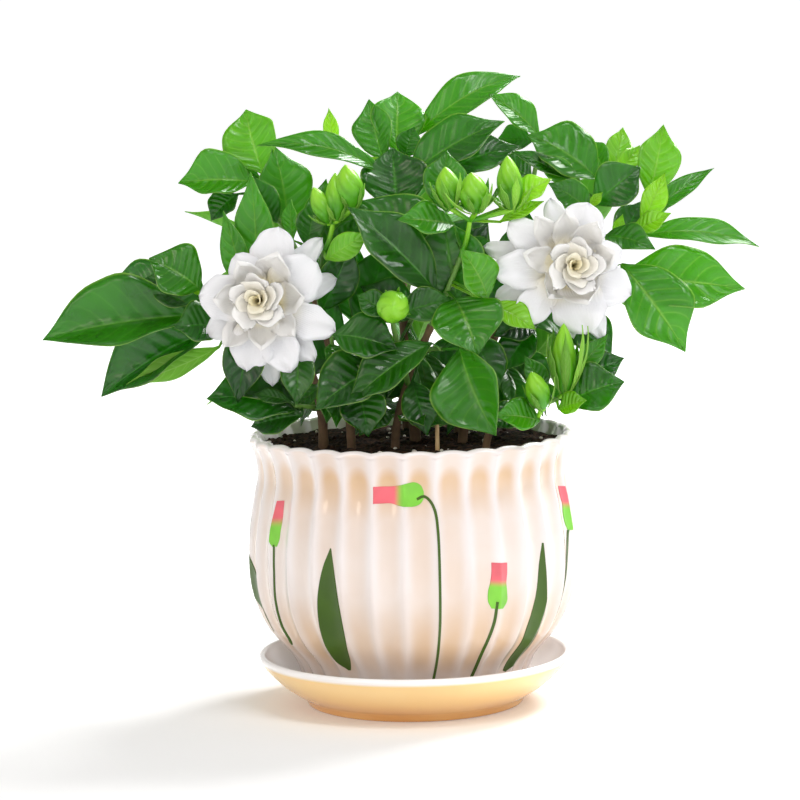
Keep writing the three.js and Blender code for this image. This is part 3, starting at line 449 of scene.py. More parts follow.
def grid_faces(rows, columns, start=0, flip=False, closed=False):
    faces = []
    for row in range(rows - 1):
        for column in range(columns if closed else columns - 1):
            beside = (column + 1) % columns
            a, b = start + row * columns + column, start + row * columns + beside
            c, d = a + columns, b + columns
            faces.append((a, c, d, b) if flip else (a, b, d, c))
    return faces


def circle(side, other, turns):
    """Unit steps away from an axis, at the given turns about it."""
    return np.outer(np.cos(turns), side) + np.outer(np.sin(turns), other)


def turns_of(sides):
    return 2 * math.pi * np.arange(sides) / sides


def add_rings(gather, rings, tone, slot, capped=False):
    """A tube through rings of points, with a flat cap on each end if it is capped."""
    count, sides = len(rings), len(rings[0])
    uvs = [(k / (count - 1), corner / sides) for k in range(count) for corner in range(sides)]
    faces = grid_faces(count, sides, closed=True)
    if capped:
        faces.append(tuple(reversed(range(sides))))
        faces.append(tuple((count - 1) * sides + corner for corner in range(sides)))
    gather.add(np.concatenate(rings), faces, np.array(uvs), tone, slot)


# Blades: leaves and petals bend along the midrib, fold along it and have a waved edge
def leaf_profile(t):
    body = np.clip(np.sin(np.pi * np.clip(t, 0, 1) ** 1.04), 0, 1) ** 0.9
    return body * (1 - 0.42 * smoothstep(t, 0.62, 0.97))


def petal_profile(t):
    return np.clip(np.sin(np.pi * np.clip(t, 0, 1) ** 1.35), 0, 1) ** 0.55


ROWS, COLUMNS = 22, 11
STALK_ROWS = 4
BEFORE_BLADE = -0.001
BLADE = {
    "root": None, "fold": LEAF_FOLD, "wave": LEAF_WAVE, "thickness": LEAF_THICKNESS, "profile": leaf_profile,
    "cup": 1.3, "notch": 0, "ruffle": 0, "curl": 0,
}


def blade_rows(blade):
    """For each row of a blade, its place from 0 to 1, the midrib's point and the midrib's direction."""
    base, tip, face = blade["base"], blade["tip"], blade["face"]
    chord = tip - base
    flat_side = unit(np.cross(chord, face))
    flat_normal = unit(np.cross(flat_side, chord))
    middle = (base + tip) / 2 + flat_normal * 2 * blade["arch"]
    for t in np.linspace(0, 1, ROWS):
        centre = (1 - t) ** 2 * base + 2 * t * (1 - t) * middle + t ** 2 * tip
        tangent = unit(2 * (1 - t) * (middle - base) + 2 * t * (tip - middle))
        yield t, centre, tangent


def stalk_rows(blade):
    """Rows from the stem to the blade's base. Their place along the blade counts as just under 0."""
    root, base = blade["root"], blade["base"]
    if root is not None:
        tangent = unit(base - root + 0.2 * (blade["tip"] - base))
        for k in range(STALK_ROWS):
            yield BEFORE_BLADE, root + (base - root) * (k / STALK_ROWS), tangent


def add_blade(gather, **settings):
    blade = {**BLADE, **settings}
    face, width, phase, fold = blade["face"], blade["width"], blade["phase"], math.radians(blade["fold"])
    across = np.linspace(-1, 1, COLUMNS)
    outwards = np.abs(across)
    upper, lower, uvs = [], [], []
    for t, centre, tangent in [*stalk_rows(blade), *blade_rows(blade)]:
        side = unit(np.cross(tangent, face))
        normal = unit(np.cross(side, tangent))
        along = max(t, 0)
        half = max(width / 2 * float(blade["profile"](along)), PETIOLE_WIDTH / 2 if t < 0.5 else 0.15)
        swing = blade["wave"] * width * math.sin(math.pi * along)
        turn = 2 * math.pi * (LEAF_WAVES * t + phase)
        ripple = swing * np.sin(turn + 2.1 * across) * outwards ** 1.5
        ripple = ripple + blade["ruffle"] * along ** 2 * np.sin(5.3 * across + 9 * t + 40 * phase)
        ripple = ripple - blade["curl"] * (along ** 4 + 0.5 * outwards ** 4 * along)
        rise = outwards ** blade["cup"] * half * math.sin(fold) + ripple
        body = blade["thickness"] / 2 * (1 - 0.55 * outwards ** 3)
        if t < 0:
            body = 0.6 * np.sqrt(1 - 0.95 * across ** 2)
        notch = 1 + blade["notch"] * math.sin(23 * t + 50 * phase) * along * outwards ** 3
        spread = np.outer(across * half * notch * math.cos(fold), side)
        line = centre + spread + np.outer(rise, normal)
        upper.append(line + np.outer(body, normal))
        lower.append(line - np.outer(body, normal))
        uvs.append(np.stack([np.full(COLUMNS, along), (across + 1) / 2], axis=1))
    add_sheet(gather, upper, lower, uvs, blade["tone"])


def add_sheet(gather, upper, lower, uvs, tone, under_slot=1):
    """A thin closed sheet from the rows of points of its two faces. The upper face takes slot 0."""
    count, columns = len(upper), len(upper[0])
    shift = count * columns
    top = grid_faces(count, columns)
    under = grid_faces(count, columns, start=shift, flip=True)
    edge = []
    for row in range(count - 1):
        left, right = row * columns, row * columns + columns - 1
        edge.append((left, left + columns, left + columns + shift, left + shift))
        edge.append((right + columns, right, right + shift, right + columns + shift))
    for column in range(columns - 1):
        edge.append((column + 1, column, column + shift, column + 1 + shift))
        last = (count - 1) * columns + column
        edge.append((last, last + 1, last + 1 + shift, last + shift))
    start = gather.count
    gather.add(np.concatenate(upper + lower), top, np.concatenate(uvs + uvs), tone, 0)
    gather.faces += [tuple(start + corner for corner in face) for face in under + edge]
    gather.slots += [under_slot] * (len(under) + len(edge))


def true_width(base, tip, face, seen_width, fold):
    """The width of a blade that looks narrower because it is folded and turned away from the viewer."""
    chord = tip - base
    side = unit(np.cross(chord, face))
    seen_side = unit(np.cross(chord, np.array([0.0, -1.0, 0.0])))
    return seen_width / max(0.5, abs(side @ seen_side)) / math.cos(math.radians(fold))


def read_leaf(reading, curve, phase):
    base, tip, face = seen(reading[0]), seen(reading[1]), facing(reading[3])
    fold = reading[6] if len(reading) > 6 else LEAF_FOLD
    return {
        "root": curve.nearest(base), "base": base, "tip": tip, "face": face, "arch": reading[4], "fold": fold,
        "width": true_width(base, tip, face, reading[2], fold), "phase": phase, "tone": reading[5],
    }


def frame_along(direction, hint=(0.31, 0.9, 0.27)):
    """Two directions that are square to a given one and to each other."""
    side = unit(np.cross(direction, np.array(hint)))
    return side, np.cross(direction, side)


def add_tube(gather, curve, radius_start, radius_end, slot, rings=18, sides=10, bumps=0.0, seed=3):
    """A tube along a curve. bumps is how uneven its radius is, as a share of it."""
    draw = seeded_draw(seed)
    rows = []
    for k in range(rings):
        share = k / (rings - 1)
        side, other = frame_along(curve.tangent(share), (0.3, 0.9, 0.1))
        radius = (radius_start + (radius_end - radius_start) * share) * (1 + bumps * draw(-1, 1))
        rows.append(curve.point(share) + radius * circle(side, other, turns_of(sides)))
    add_rings(gather, rows, 0.3, slot, capped=True)


# Woody stems: each goes upright through its hole in the soil, and then along its readings
WOODY_STEMS = {
    "woody_stem_left": (
        2.5, [[-44, 108, 20], [-44, 132, 20], [-45, 150, 22], [-52, 172, 20], [-66, 186, 18]]),
    "woody_stem_upper_left": (
        2.3, [[-30, 108, 28], [-30, 132, 28], [-31, 146, 27], [-37, 170, 20], [-44, 195, 12], [-51, 218, 5]]),
    "woody_stem_middle": (2.8, [[2, 108, 4], [2, 136, 4], [0, 160, 4], [-3, 200, 2], [-4, 238, -2]]),
    "woody_stem_front": (2.2, [[-8, 108, 26], [-8, 132, 26], [-6, 146, 27], [3, 172, 30], [11, 190, 32]]),
    "woody_stem_right": (
        2.5, [[26, 108, 14], [26, 135, 14], [32, 152, 16], [50, 182, 16], [68, 208, 11], [79, 225, 8]]),
    "woody_stem_low_right": (2, [[38, 108, 34], [38, 132, 34], [44, 142, 38], [56, 150, 42]]),
    "woody_stem_back_right": (
        2.4, [[24, 108, -22], [24, 138, -22], [36, 165, -25], [50, 210, -28], [57, 242, -28]]),
    "woody_stem_back_left": (2.4, [[-26, 108, -20], [-26, 138, -20], [-38, 160, -26], [-46, 196, -34]]),
    "woody_stem_back": (2.4, [[-2, 108, -40], [-2, 141, -40], [-4, 160, -46], [-2, 196, -54]]),
}
STICK = (1.1, [[13, 108, 36], [13, 132, 36], [13, 145, 36]])

# Leafy stems, each with its radius, its path and its leaves, read as
# [base, tip, seen width, face, arch, freshness] and sometimes a fold in degrees. Freshness goes from 0, deep
# green, to 1, lime, and the last leaves of some stems are tiny.
LEAFY_STEMS = {
    "leafy_stem_left": (1.4, [[-63, 184, 18], [-80, 189, 16], [-94, 195, 18], [-104, 206, 22]], [
        [[-104, 197, 22], [-183, 186, 15], 32, [0, 0.7], 5, 0.12, 36],
        [[-106, 206, 8], [-151, 213, -10], 24, [0, 0.5], 4, 0.05],
        [[-104, 210, 32], [-129, 226, 35], 25, [0.2, 0.5], 3, 0.25],
        [[-101, 205, 16], [-131, 216, 12], 24, [0, 0.6], 3, 0.05],
        [[-94, 191, 30], [-117.5, 191, 38], 19, [-0.3, 0.6], 2, 0],
        [[-98, 190, 12], [-154.5, 157, 5], 27, [-0.4, 0.6], 5, 0, 34],
        [[-95, 181, 20], [-142, 163, 18], 13, [0.3, 0.5, -1], -3, 0.5],
        [[-104, 207, 25], [-110, 214, 28], 4, [0, 0.5], 1, 1],
    ]),
    "leafy_stem_behind_left_bloom": (1.4, [[-53, 174, 20], [-61, 186, 22], [-68, 197, 25]], [
        [[-75, 209, 22], [-77.5, 268, 22], 19, [-0.2, 0.1], -3, 0.4],
        [[-80, 203, 24], [-91.5, 249, 26], 14, [-0.3, 0.1], -2, 0.45],
        [[-78, 196, 32], [-86.5, 152.5, 42], 21, [0, 0.4], 4, 0],
        [[-55, 181, 34], [-57, 151, 48], 17, [0, 0.5], 3, 0.1],
    ]),
    "leafy_stem_upper_left": (1.4, [[-50, 215, 5], [-57, 232, 0], [-66, 247, -2], [-74, 258, -4]], [
        [[-76, 263, 0], [-113.5, 263, 2], 22, [0, 0.6], 3, 0.4, 36],
        [[-71, 267, -12], [-79, 299, -24], 29, [-0.3, 0.1], 3, 0.6],
        [[-84, 257, 6], [-97.5, 244, 10], 13, [-0.6, 0.4], 2, 0],
        [[-59, 238, -6], [-66, 281, -10], 26, [0.4, 0.2], 3, 0.35],
        [[-65, 243, 2], [-76, 266, 4], 17, [-0.3, 0.3], 3, 0.05],
        [[-72, 264, -16], [-91, 280, -22], 6, [-0.2, 0.4], 1, 0.15],
    ]),
    "leafy_stem_upper_left_inner": (1.3, [[-43, 194, 12], [-45, 208, 20], [-42, 228, 28]], [
        [[-41, 224, 40], [-19, 237, 46], 13, [0.1, 0.2], 2, 0.7],
        [[-44, 198, 24], [-28, 233, 30], 20, [0.3, 0.1], 3, 0],
        [[-50, 230, 22], [-46, 254, 20], 15, [0, 0.1], 2, 0.1],
        [[-57, 234, 18], [-57.5, 254, 20], 8, [-0.6, 0.1], 1, 0.4],
        [[-42, 226, 20], [-30, 258, 12], 17, [0.1, 0.3], 2, 0.25],
        [[-46, 228, 14], [-40, 264, 4], 16, [-0.1, 0.2], 2, 0.35],
        [[-40, 220, 24], [-22, 246, 20], 15, [0.2, 0.4], 2, 0.1],
    ]),
    "leafy_stem_front_left": (1.3, [[-36, 167, 21], [-38, 176, 32], [-39, 185, 42]], [
        [[-38, 186, 46], [-6, 178, 54], 21, [0.1, 0.7], 3, 0.05],
        [[-34, 180, 36], [-42, 172, 44], 9, [0, 0.6], 1, 0.2],
        [[-26, 160, 40], [-21.5, 134.5, 52], 23, [0, 0.4], 3, 0],
    ]),
    "leafy_stem_low_left": (1.3, [[-45, 149, 22], [-50, 150, 32], [-58, 151, 38]], [
        [[-56, 149, 34], [-102, 155, 34], 25, [-0.1, 1.2], 4, 0],
        [[-60, 153, 38], [-79, 157, 36], 7, [0, 0.6], 1, 0.1],
        [[-62, 155, 30], [-92, 173, 22], 24, [-0.3, 0.8], 3, 0],
        [[-54, 146, 38], [-80, 140.5, 30], 16, [0, 0.7], 2, 0],
    ]),
    "leafy_stem_middle_bud": (1.5, [[-1, 160, 29], [-4, 174, 38], [-8, 190, 47], [-8, 199, 52]], [
        [[-10, 196, 50], [-26, 206, 48], 13, [0, 0.3], 2, 0.1],
        [[-5, 196, 49], [21, 203, 44], 17, [0.2, 0.4], 2, 0.05],
        [[-11, 171, 44], [-47.5, 148.5, 54], 25, [-0.2, 0.8], 4, 0.05],
        [[-5, 169, 42], [-30, 174, 44], 18, [0, 0.6], 2, 0],
    ]),
    "leafy_stem_middle": (1.5, [[10, 188, 32], [16, 200, 33], [22, 214, 34], [27, 226, 36]], [
        [[14, 206, 40], [-30, 250, 44], 25, [0.3, 0.5], 4, 0.05],
        [[20, 222, 28], [-27, 252, 22], 28, [0.2, 0.6], 4, 0.15],
        [[24, 203, 30], [18, 244, 28], 36, [-0.2, 0.3], 3, 0.12],
        [[23, 203, 42], [34, 174.5, 60], 35, [0.1, 0.5], 4, 0.32],
        [[39, 203, 44], [26, 228, 52], 18, [0.5, 0.2], 3, 0.55],
        [[41, 200, 44], [63, 187, 48], 12, [0.2, 0.5], 2, 0.8],
        [[23, 240, 36], [-5, 243, 48], 15, [0, 0.6], 2, 0.45],
        [[18, 246, 24], [20, 277, 18], 22, [0, 0.2], 2, 0.3],
        [[20, 214, 22], [40, 240, 12], 17, [0.2, 0.4], 2, 0],
        [[24, 222, 26], [46, 228, 30], 14, [0.2, 0.6], 2, 0.05],
    ]),
    "leafy_stem_low_middle": (1.4, [[5, 175, 30], [10, 178, 38], [16, 178, 46]], [
        [[11, 181, 48], [-31.5, 150.5, 60], 19, [-0.2, 0.8], 4, 0.1],
        [[25, 178, 52], [42.5, 134, 66], 34, [-0.6, 0.3], 4, 0.25, 32],
        [[1, 162, 40], [8, 134.5, 50], 18, [0, 0.4], 3, 0],
        [[30, 186, 38], [44, 156, 46], 18, [0.3, 0.4], 3, 0],
    ]),
    "leafy_stem_top": (1.5, [[-4, 235, -2], [-5, 250, -5], [-4, 264, -10], [-3, 275, -16]], [
        [[-5, 276, -20], [-4, 306.5, -34], 28, [0.1, 0.1], 2, 0.5],
        [[-11, 272, -16], [-18, 303, -26], 20, [-0.4, 0.1], 2, 0.3],
        [[-1, 274, -10], [4, 289, -10], 14, [0.1, 0.3], 1, 0.1],
        [[0, 264, -2], [49, 291, -4], 22, [-0.3, 0.6], 5, 0.15],
        [[-5, 247, 8], [-7, 279, -2], 34, [0, 0.3], 2, 0.05],
        [[-11, 266, 0], [-74, 281, 10], 12, [0, 0.7], 12, 0.35],
        [[12, 262, 0], [57, 278, -12], 18, [-0.2, 0.6], 6, 0.05],
        [[4, 284, -26], [57, 313, -40], 18, [-0.3, 0.5], 10, 0.35],
        [[-36, 276, -14], [-38, 299, -24], 8, [0, 0.1], 1, 1],
    ]),
    "leafy_stem_top_right": (1.4, [[56, 240, -28], [61, 255, -28], [64, 268, -27], [67, 281, -26]], [
        [[66, 283, -23], [41, 304.5, -20], 14, [0.5, 0.6], 3, 0.4],
        [[63, 281, -30], [44, 281, -32], 13, [0, 0.5], 2, 0.1],
        [[68, 277, -28], [83, 289, -32], 8, [0.2, 0.4], 1, 0.3],
        [[62, 262, -20], [44, 272, -12], 15, [-0.2, 0.6], 2, 0.1],
    ]),
    "leafy_stem_right_top": (1.4, [[78, 223, 8], [86, 238, 8], [93, 250, 8], [98, 260, 4]], [
        [[95, 261, 8], [60, 284, 2], 25, [-0.1, 0.9], 5, 0.25],
        [[88, 254, 12], [62, 275, 14], 12, [-0.1, 0.6], 2, 0.4],
        [[80, 262, 16], [52, 276, 14], 8, [-0.2, 0.8], 2, 0.1],
        [[99, 264, 0], [91, 281, -12], 13, [-0.2, 0.2], 1, 0.4],
        [[102, 262, -4], [107.5, 287, -18], 14, [0.1, 0.1], 1, 0.8],
        [[102, 261, 2], [116, 278, -10], 10, [0.2, 0.2], 1, 0.9],
        [[93, 249, 20], [116, 267, 18], 23, [0.3, 0.6], 3, 0.05],
        [[91, 248, 22], [97, 255, 24], 5, [0, 0.3], 1, 1],
        [[91, 246, 16], [70, 260, 24], 15, [-0.1, 0.5], 2, 0.2],
    ]),
    "leafy_stem_right": (1.4, [[71, 212, 10], [90, 221, 8], [106, 229, 5], [117, 239, 3]], [
        [[120, 252, 2], [127.5, 288, -2], 22, [0.2, 0.2], 2, 0.65],
        [[116, 239, 10], [128, 264, 8], 13, [0.3, 0.2], 1, 0.95],
        [[112, 235, 12], [131, 244, 18], 10, [0.2, 0.5], 1, 0.85],
        [[114, 240, -12], [152.5, 266, -28], 10, [0, 0.5], 3, 0.3],
        [[114, 233, 6], [174.5, 226.5, 0], 12, [0.1, 0.7], 9, 0.4],
        [[98, 233, 16], [123, 226, 28], 13, [0.2, 0.6], 3, 0.2],
        [[104, 226, 0], [116, 250, -16], 18, [0.1, 0.4], 2, 0],
        [[103, 232, 12], [107, 244, 14], 6, [0, 0.3], 1, 0.9],
        [[116, 240, -8], [131, 254, -22], 9, [0.2, 0.3], 1, 0.6],
    ]),
    "leafy_stem_behind_right_bloom": (1.4, [[51, 184, 16], [62, 194, 20], [75, 206, 24]], [
        [[104, 212, 14], [167.5, 205.5, 14], 30, [0.2, 0.5], 3, 0.5],
        [[106, 219, 22], [137.5, 174.5, 28], 33, [0.2, 0.4], 4, 0.45],
        [[76, 198, 26], [100, 168, 30], 20, [0.4, 0.5], 3, 0],
        [[64, 190, 24], [42, 184, 32], 15, [-0.1, 0.6], 2, 0],
        [[62, 188, 26], [46, 166, 36], 18, [-0.1, 0.5], 2, 0],
    ]),
    "leafy_stem_low_right": (1.4, [[54, 149, 41], [63, 149, 46], [74, 152, 48]], [
        [[64, 141, 56], [42, 144, 64], 14, [-0.2, 0.7], 2, 0.5],
        [[78, 150, 46], [107, 160, 48], 22, [0.2, 0.7], 3, 0.1],
        [[82, 160, 40], [107, 172, 36], 15, [0.2, 0.7], 2, 0],
        [[80, 162, 42], [99, 184, 38], 11, [0.2, 0.4], 2, 0.4],
        [[68, 158, 44], [57, 174, 50], 11, [-0.3, 0.4], 2, 0.2],
        [[74, 147, 52], [88, 151, 60], 10, [0.1, 0.6], 1, 0.7],
        [[56, 148, 44], [42, 138, 48], 14, [0, 0.6], 2, 0],
    ]),
    "leafy_stem_inner_left": (1.3, [[-36, 166, 21], [-31, 178, 13], [-28, 194, 6]], [
        [[-32, 184, 6], [-60, 205, -10], 27, [-0.3, 0.5], 3, 0],
        [[-28, 194, 2], [-40, 240, -8], 28, [-0.1, 0.3], 3, 0],
        [[-26, 188, 12], [-10, 232, 4], 26, [0.2, 0.3], 3, 0],
        [[-34, 172, 12], [-66, 176, 2], 22, [-0.2, 0.6], 3, 0],
    ]),
    "leafy_stem_inner_middle": (1.3, [[-2, 186, 3], [4, 200, 8], [10, 214, 8]], [
        [[10, 214, 6], [2, 258, -4], 28, [0, 0.3], 3, 0.05],
        [[13, 210, 12], [40, 244, 0], 27, [0.2, 0.4], 3, 0],
        [[8, 198, 14], [40, 200, 14], 24, [0.1, 0.6], 3, 0],
        [[2, 194, 12], [-24, 210, 14], 22, [-0.2, 0.5], 3, 0],
    ]),
    "leafy_stem_inner_right": (1.3, [[45, 173, 16], [50, 186, 6], [54, 200, -4]], [
        [[54, 200, -6], [60, 246, -18], 28, [0.1, 0.3], 3, 0.05],
        [[50, 190, 8], [34, 224, 2], 24, [-0.2, 0.4], 3, 0],
        [[54, 194, 0], [92, 192, -12], 26, [0.2, 0.6], 3, 0],
        [[48, 178, 14], [66, 150, 18], 22, [0.2, 0.5], 3, 0],
    ]),
    "leafy_stem_inner_low": (1.3, [[-7, 143, 27], [-2, 154, 18], [6, 162, 12]], [
        [[6, 162, 12], [38, 176, 4], 25, [0.2, 0.6], 3, 0],
        [[0, 156, 16], [-28, 170, 8], 24, [-0.2, 0.6], 3, 0],
        [[6, 158, 14], [30, 142, 20], 20, [0.1, 0.6], 3, 0],
    ]),
}

# Small dark leaves that hang from the lowest stems down to the soil: how far out they may stand, the least
# and most of their length, of their tip's height and of their width, and each stem's number of them and seed
UNDERGROWTH_REACH = 68
HANGING_LENGTH, HANGING_TIP, HANGING_WIDTH = (24, 34), (136, 158), (12, 17)
UNDERGROWTH = {
    "leafy_stem_inner_left": (11, 61), "leafy_stem_inner_middle": (10, 62),
    "leafy_stem_inner_right": (11, 63), "leafy_stem_inner_low": (10, 64),
    "leafy_stem_back_low_left": (12, 65), "leafy_stem_back_low_right": (12, 66),
    "leafy_stem_back_low_middle": (12, 67),
}

# Rear leafy stems, whose leaves stand around them by rule: the path, the leaves and the longest leaf
REAR_STEMS = {
    "leafy_stem_back_left": ([[-45, 190, -33], [-56, 208, -44], [-66, 222, -54]], 6, 62),
    "leafy_stem_back_middle": ([[-3, 190, -52], [0, 210, -60], [4, 228, -66]], 6, 62),
    "leafy_stem_back_right": ([[44, 190, -27], [58, 206, -42], [72, 220, -52]], 6, 62),
    "leafy_stem_back_low_left": ([[-34, 150, -24], [-48, 162, -34], [-62, 172, -40]], 5, 56),
    "leafy_stem_back_low_right": ([[32, 150, -23], [46, 160, -34], [62, 170, -40]], 5, 56),
    "leafy_stem_back_low_middle": ([[-3, 152, -45], [-2, 162, -58], [0, 172, -70]], 5, 54),
}


def undergrowth(name, curve):
    """Small leaves that leave the foot of a stem all round and hang down to just above the soil."""
    count, seed = UNDERGROWTH.get(name, (0, 1))
    draw = seeded_draw(seed)
    leaves = []
    for k in range(count):
        root = curve.point(draw(0, 0.3))
        turn = math.radians(GOLDEN_ANGLE * k + draw(-20, 20))
        out = np.array([math.cos(turn), math.sin(turn), 0.0])
        tip = root + out * draw(*HANGING_LENGTH)
        tip[2] = draw(*HANGING_TIP)
        away = math.hypot(tip[0], tip[1])
        if away > UNDERGROWTH_REACH:
            tip[:2] *= UNDERGROWTH_REACH / away
        leaves.append({
            "root": root, "base": root + (tip - root) * 0.25, "tip": tip,
            "face": np.array([0, -0.9, 0.8]) + 0.4 * out, "arch": 2.5,
            "width": draw(*HANGING_WIDTH), "phase": draw(0, 1), "tone": draw(0, 0.15),
        })
    return leaves


def turned_about(vector, axis, angle):
    return np.array(Matrix.Rotation(angle, 3, Vector(axis)) @ Vector(vector))


# Whorls: the leaf's stalk, its lean from the stem in degrees and how much more the oldest leans, how far the
# oldest droops, and how low a tip may come
WHORL_STALK = 5
WHORL_LEAN, WHORL_MORE_LEAN = 30, 48
WHORL_DROOP = 6
WHORL_LOWEST = RIM_HEIGHT + 8


def whorl(curve, count, longest, seed):
    """Leaves all round the outer part of a stem, the youngest and most upright at its tip."""
    draw = seeded_draw(seed)
    leaves = []
    for k in range(count):
        age = k / (count - 1)
        root = curve.point(1 - 0.6 * age)
        axis = curve.tangent(1 - 0.6 * age)
        across = unit(np.cross(UPRIGHT, axis))
        out = turned_about(across, axis, math.radians(k * GOLDEN_ANGLE + draw(-15, 15)))
        lean = math.radians(WHORL_LEAN + WHORL_MORE_LEAN * age + draw(-6, 6))
        direction = axis * math.cos(lean) + out * math.sin(lean)
        length = longest * (0.62 + 0.38 * math.sin(math.pi * (0.2 + 0.6 * age))) * draw(0.9, 1.05)
        tip = root + direction * (WHORL_STALK + length)
        tip[2] = max(tip[2] - WHORL_DROOP * age, WHORL_LOWEST)
        width = length * draw(0.38, 0.46)
        phase = draw(0, 1)
        leaves.append({
            "root": root, "base": root + direction * WHORL_STALK, "tip": tip, "arch": length * 0.07,
            "face": axis + np.array([0, 0, 0.6]), "width": width, "phase": phase, "tone": 0.4 * phase,
        })
    return leaves


# Flower buds: [base, tip, width], on stalks that leave the leafy stem's end. Narrow sepals stand around
# each, given as their count, length, width and lean in degrees, and a spray may carry leaves of its own.
BUD_SPRAYS = {
    "flower_buds_left": (
        [[-42, 227, 27], [-39, 234, 29], [-37, 242, 30]],
        [[[-27, 249, 32], [-30.5, 271, 32], 14], [[-35, 243, 32], [-35.5, 267, 30], 11],
         [[-39, 242, 30], [-46.5, 260, 32], 10]], (5, 12, 2.6, 37), []),
    "flower_buds_middle": (
        [[26, 224, 36], [29, 232, 38], [31, 242, 41]],
        [[[22, 248, 44], [19, 269, 44], 13], [[34, 246, 46], [32, 266, 50], 15],
         [[52, 247, 40], [50, 274, 38], 13]], (8, 19, 4.2, 37),
        [[[50, 249, 36], [72, 262, 32], 12, [-0.2, 0.6], 2, 1],
         [[46, 241, 38], [68, 251, 36], 7, [-0.2, 0.6], 1, 0.9]]),
    "flower_bud_round": (
        [[-8, 197, 50], [-8, 199, 54]],
        [[[-8, 199.5, 52], [-8, 200, 68], 16]], (4, 13, 1.8, 37), []),
    "flower_bud_low_right": (
        [[60, 148, 44], [63, 143, 52], [65, 146, 60]],
        [[[66, 147, 60], [60.5, 166, 62], 12]], (4, 17, 3, 37), []),
    "flower_bud_opening": (
        [[72, 151, 47], [76, 154, 48]],
        [[[77, 155, 48], [77, 190, 50], 12]], (7, 34, 5.5, 17), []),
}
BUD_SLOT = 2
BUD_TWIST = 0.36
BUD_FOLDS = 5
BUD_RINGS, BUD_SIDES = 24, 40


def add_bud(gather, reading, sepals, seed):
    base, tip, width = seen(reading[0]), seen(reading[1]), reading[2]
    length = np.linalg.norm(tip - base)
    direction = unit(tip - base)
    turns = turns_of(BUD_SIDES)
    out = circle(*frame_along(direction), turns)
    rows = []
    for k in range(BUD_RINGS):
        t = k / (BUD_RINGS - 1)
        radius = width / 2 * math.sin(math.pi * min(0.05 + 0.95 * t, 0.999) ** 0.95) ** 0.75
        twisted = BUD_FOLDS * (turns / 2 + math.pi * BUD_TWIST * t)
        crease = 1 - 0.2 * (1 - np.abs(np.sin(twisted))) ** 3 * smoothstep(t, 0.05, 0.4)
        rows.append(base + direction * length * t + out * (radius * crease)[:, None])
    add_rings(gather, rows, 0.8, BUD_SLOT)
    add_sepals(gather, base, direction, width * 0.22, sepals, seed)


def add_sepals(gather, base, direction, offset, sepals, seed):
    """Narrow green blades that stand all round the foot of a bud or a bloom."""
    count, length, width, lean = sepals
    side, other = frame_along(direction)
    draw = seeded_draw(seed)
    for k in range(count):
        turn = 2 * math.pi * (k + draw(-0.3, 0.3)) / count
        out = math.cos(turn) * side + math.sin(turn) * other
        tilt = math.radians(lean * draw(0.7, 1.3))
        reach = length * draw(0.7, 1.05)
        start = base + out * offset
        end = start + (direction * math.cos(tilt) + out * math.sin(tilt)) * reach
        add_blade(
            gather, base=start, tip=end, face=direction - 0.9 * out, arch=-0.1 * reach, wave=0.06,
            width=width * draw(0.8, 1.15), phase=draw(0, 1), tone=draw(0.25, 0.95))


# Blooms: each petal grows from the flower's root and is read as [tip, seen width, face, arch]
BLOOMS = {
    "left": {
        "root": [-72, 204, 36],
        "heart": [-76, 204, 55],
        "stalk": [[-67, 195, 25], [-69, 199, 28], [-71, 202, 33]],
        "petals": [
            [[-64, 241, 40], 22, [0, 0.2], 3],
            [[-42, 235, 34], 12, [0.3, 0.3], 2],
            [[-45, 222, 46], 26, [0.2, 0.1], 3],
            [[-35, 214, 36], 13, [0.4, 0], 2],
            [[-37, 187, 48], 18, [0.2, -0.2], 3],
            [[-48, 172, 44], 15, [0.2, -0.4], 2],
            [[-60, 167, 48], 19, [0, -0.3], 3],
            [[-69, 160, 40], 14, [0, -0.3], 3],
            [[-82, 168, 46], 22, [-0.1, -0.3], 3],
            [[-102, 186, 42], 15, [-0.3, -0.2], 3],
            [[-105, 207, 46], 23, [-0.3, 0.1], 3],
            [[-86, 228, 42], 17, [-0.1, 0.3], 3],
            [[-66, 224, 54], 21, [-0.2, -0.4], -4],
            [[-56, 205, 56], 18, [-0.4, 0], -4],
            [[-60, 188, 54], 15, [-0.3, 0.3], -3],
            [[-74, 183, 56], 17, [0, 0.4], -4],
            [[-91, 183, 52], 16, [0.2, 0.3], -3],
            [[-94, 205, 54], 19, [0.4, 0], -4],
            [[-83, 220, 56], 15, [0.3, -0.4], -4],
        ],
    },
    "right": {
        "root": [80, 218, 34],
        "heart": [83, 219, 54],
        "stalk": [[74, 205, 24], [77, 210, 26], [79, 215, 31]],
        "petals": [
            [[90, 250, 44], 24, [0, 0.2], 3],
            [[71, 253, 36], 13, [-0.1, 0.2], 2],
            [[50, 241, 42], 18, [-0.2, 0.2], 3],
            [[37, 229, 36], 12, [-0.3, 0.1], 2],
            [[42, 217, 46], 20, [-0.2, 0], 3],
            [[43, 203, 40], 12, [-0.3, -0.2], 2],
            [[52.5, 189, 48], 17, [-0.2, -0.2], 3],
            [[88, 184, 48], 27, [0, -0.3], 3],
            [[80, 180, 40], 10, [0, -0.3], 2],
            [[97, 181, 40], 12, [0.2, -0.3], 2],
            [[111, 203, 44], 21, [0.3, -0.1], 3],
            [[107, 226, 44], 16, [0.3, 0.1], 3],
            [[66, 241, 52], 14, [0.3, -0.3], -4],
            [[79, 243, 54], 15, [0.1, -0.5], -4],
            [[93, 237, 54], 17, [-0.2, -0.4], -4],
            [[100, 223, 54], 17, [-0.4, -0.1], -4],
            [[88, 203, 56], 24, [-0.1, 0.4], -4],
            [[72, 206, 54], 17, [0.3, 0.3], -4],
            [[61, 224, 52], 14, [0.5, 0], -3],
        ],
    },
}

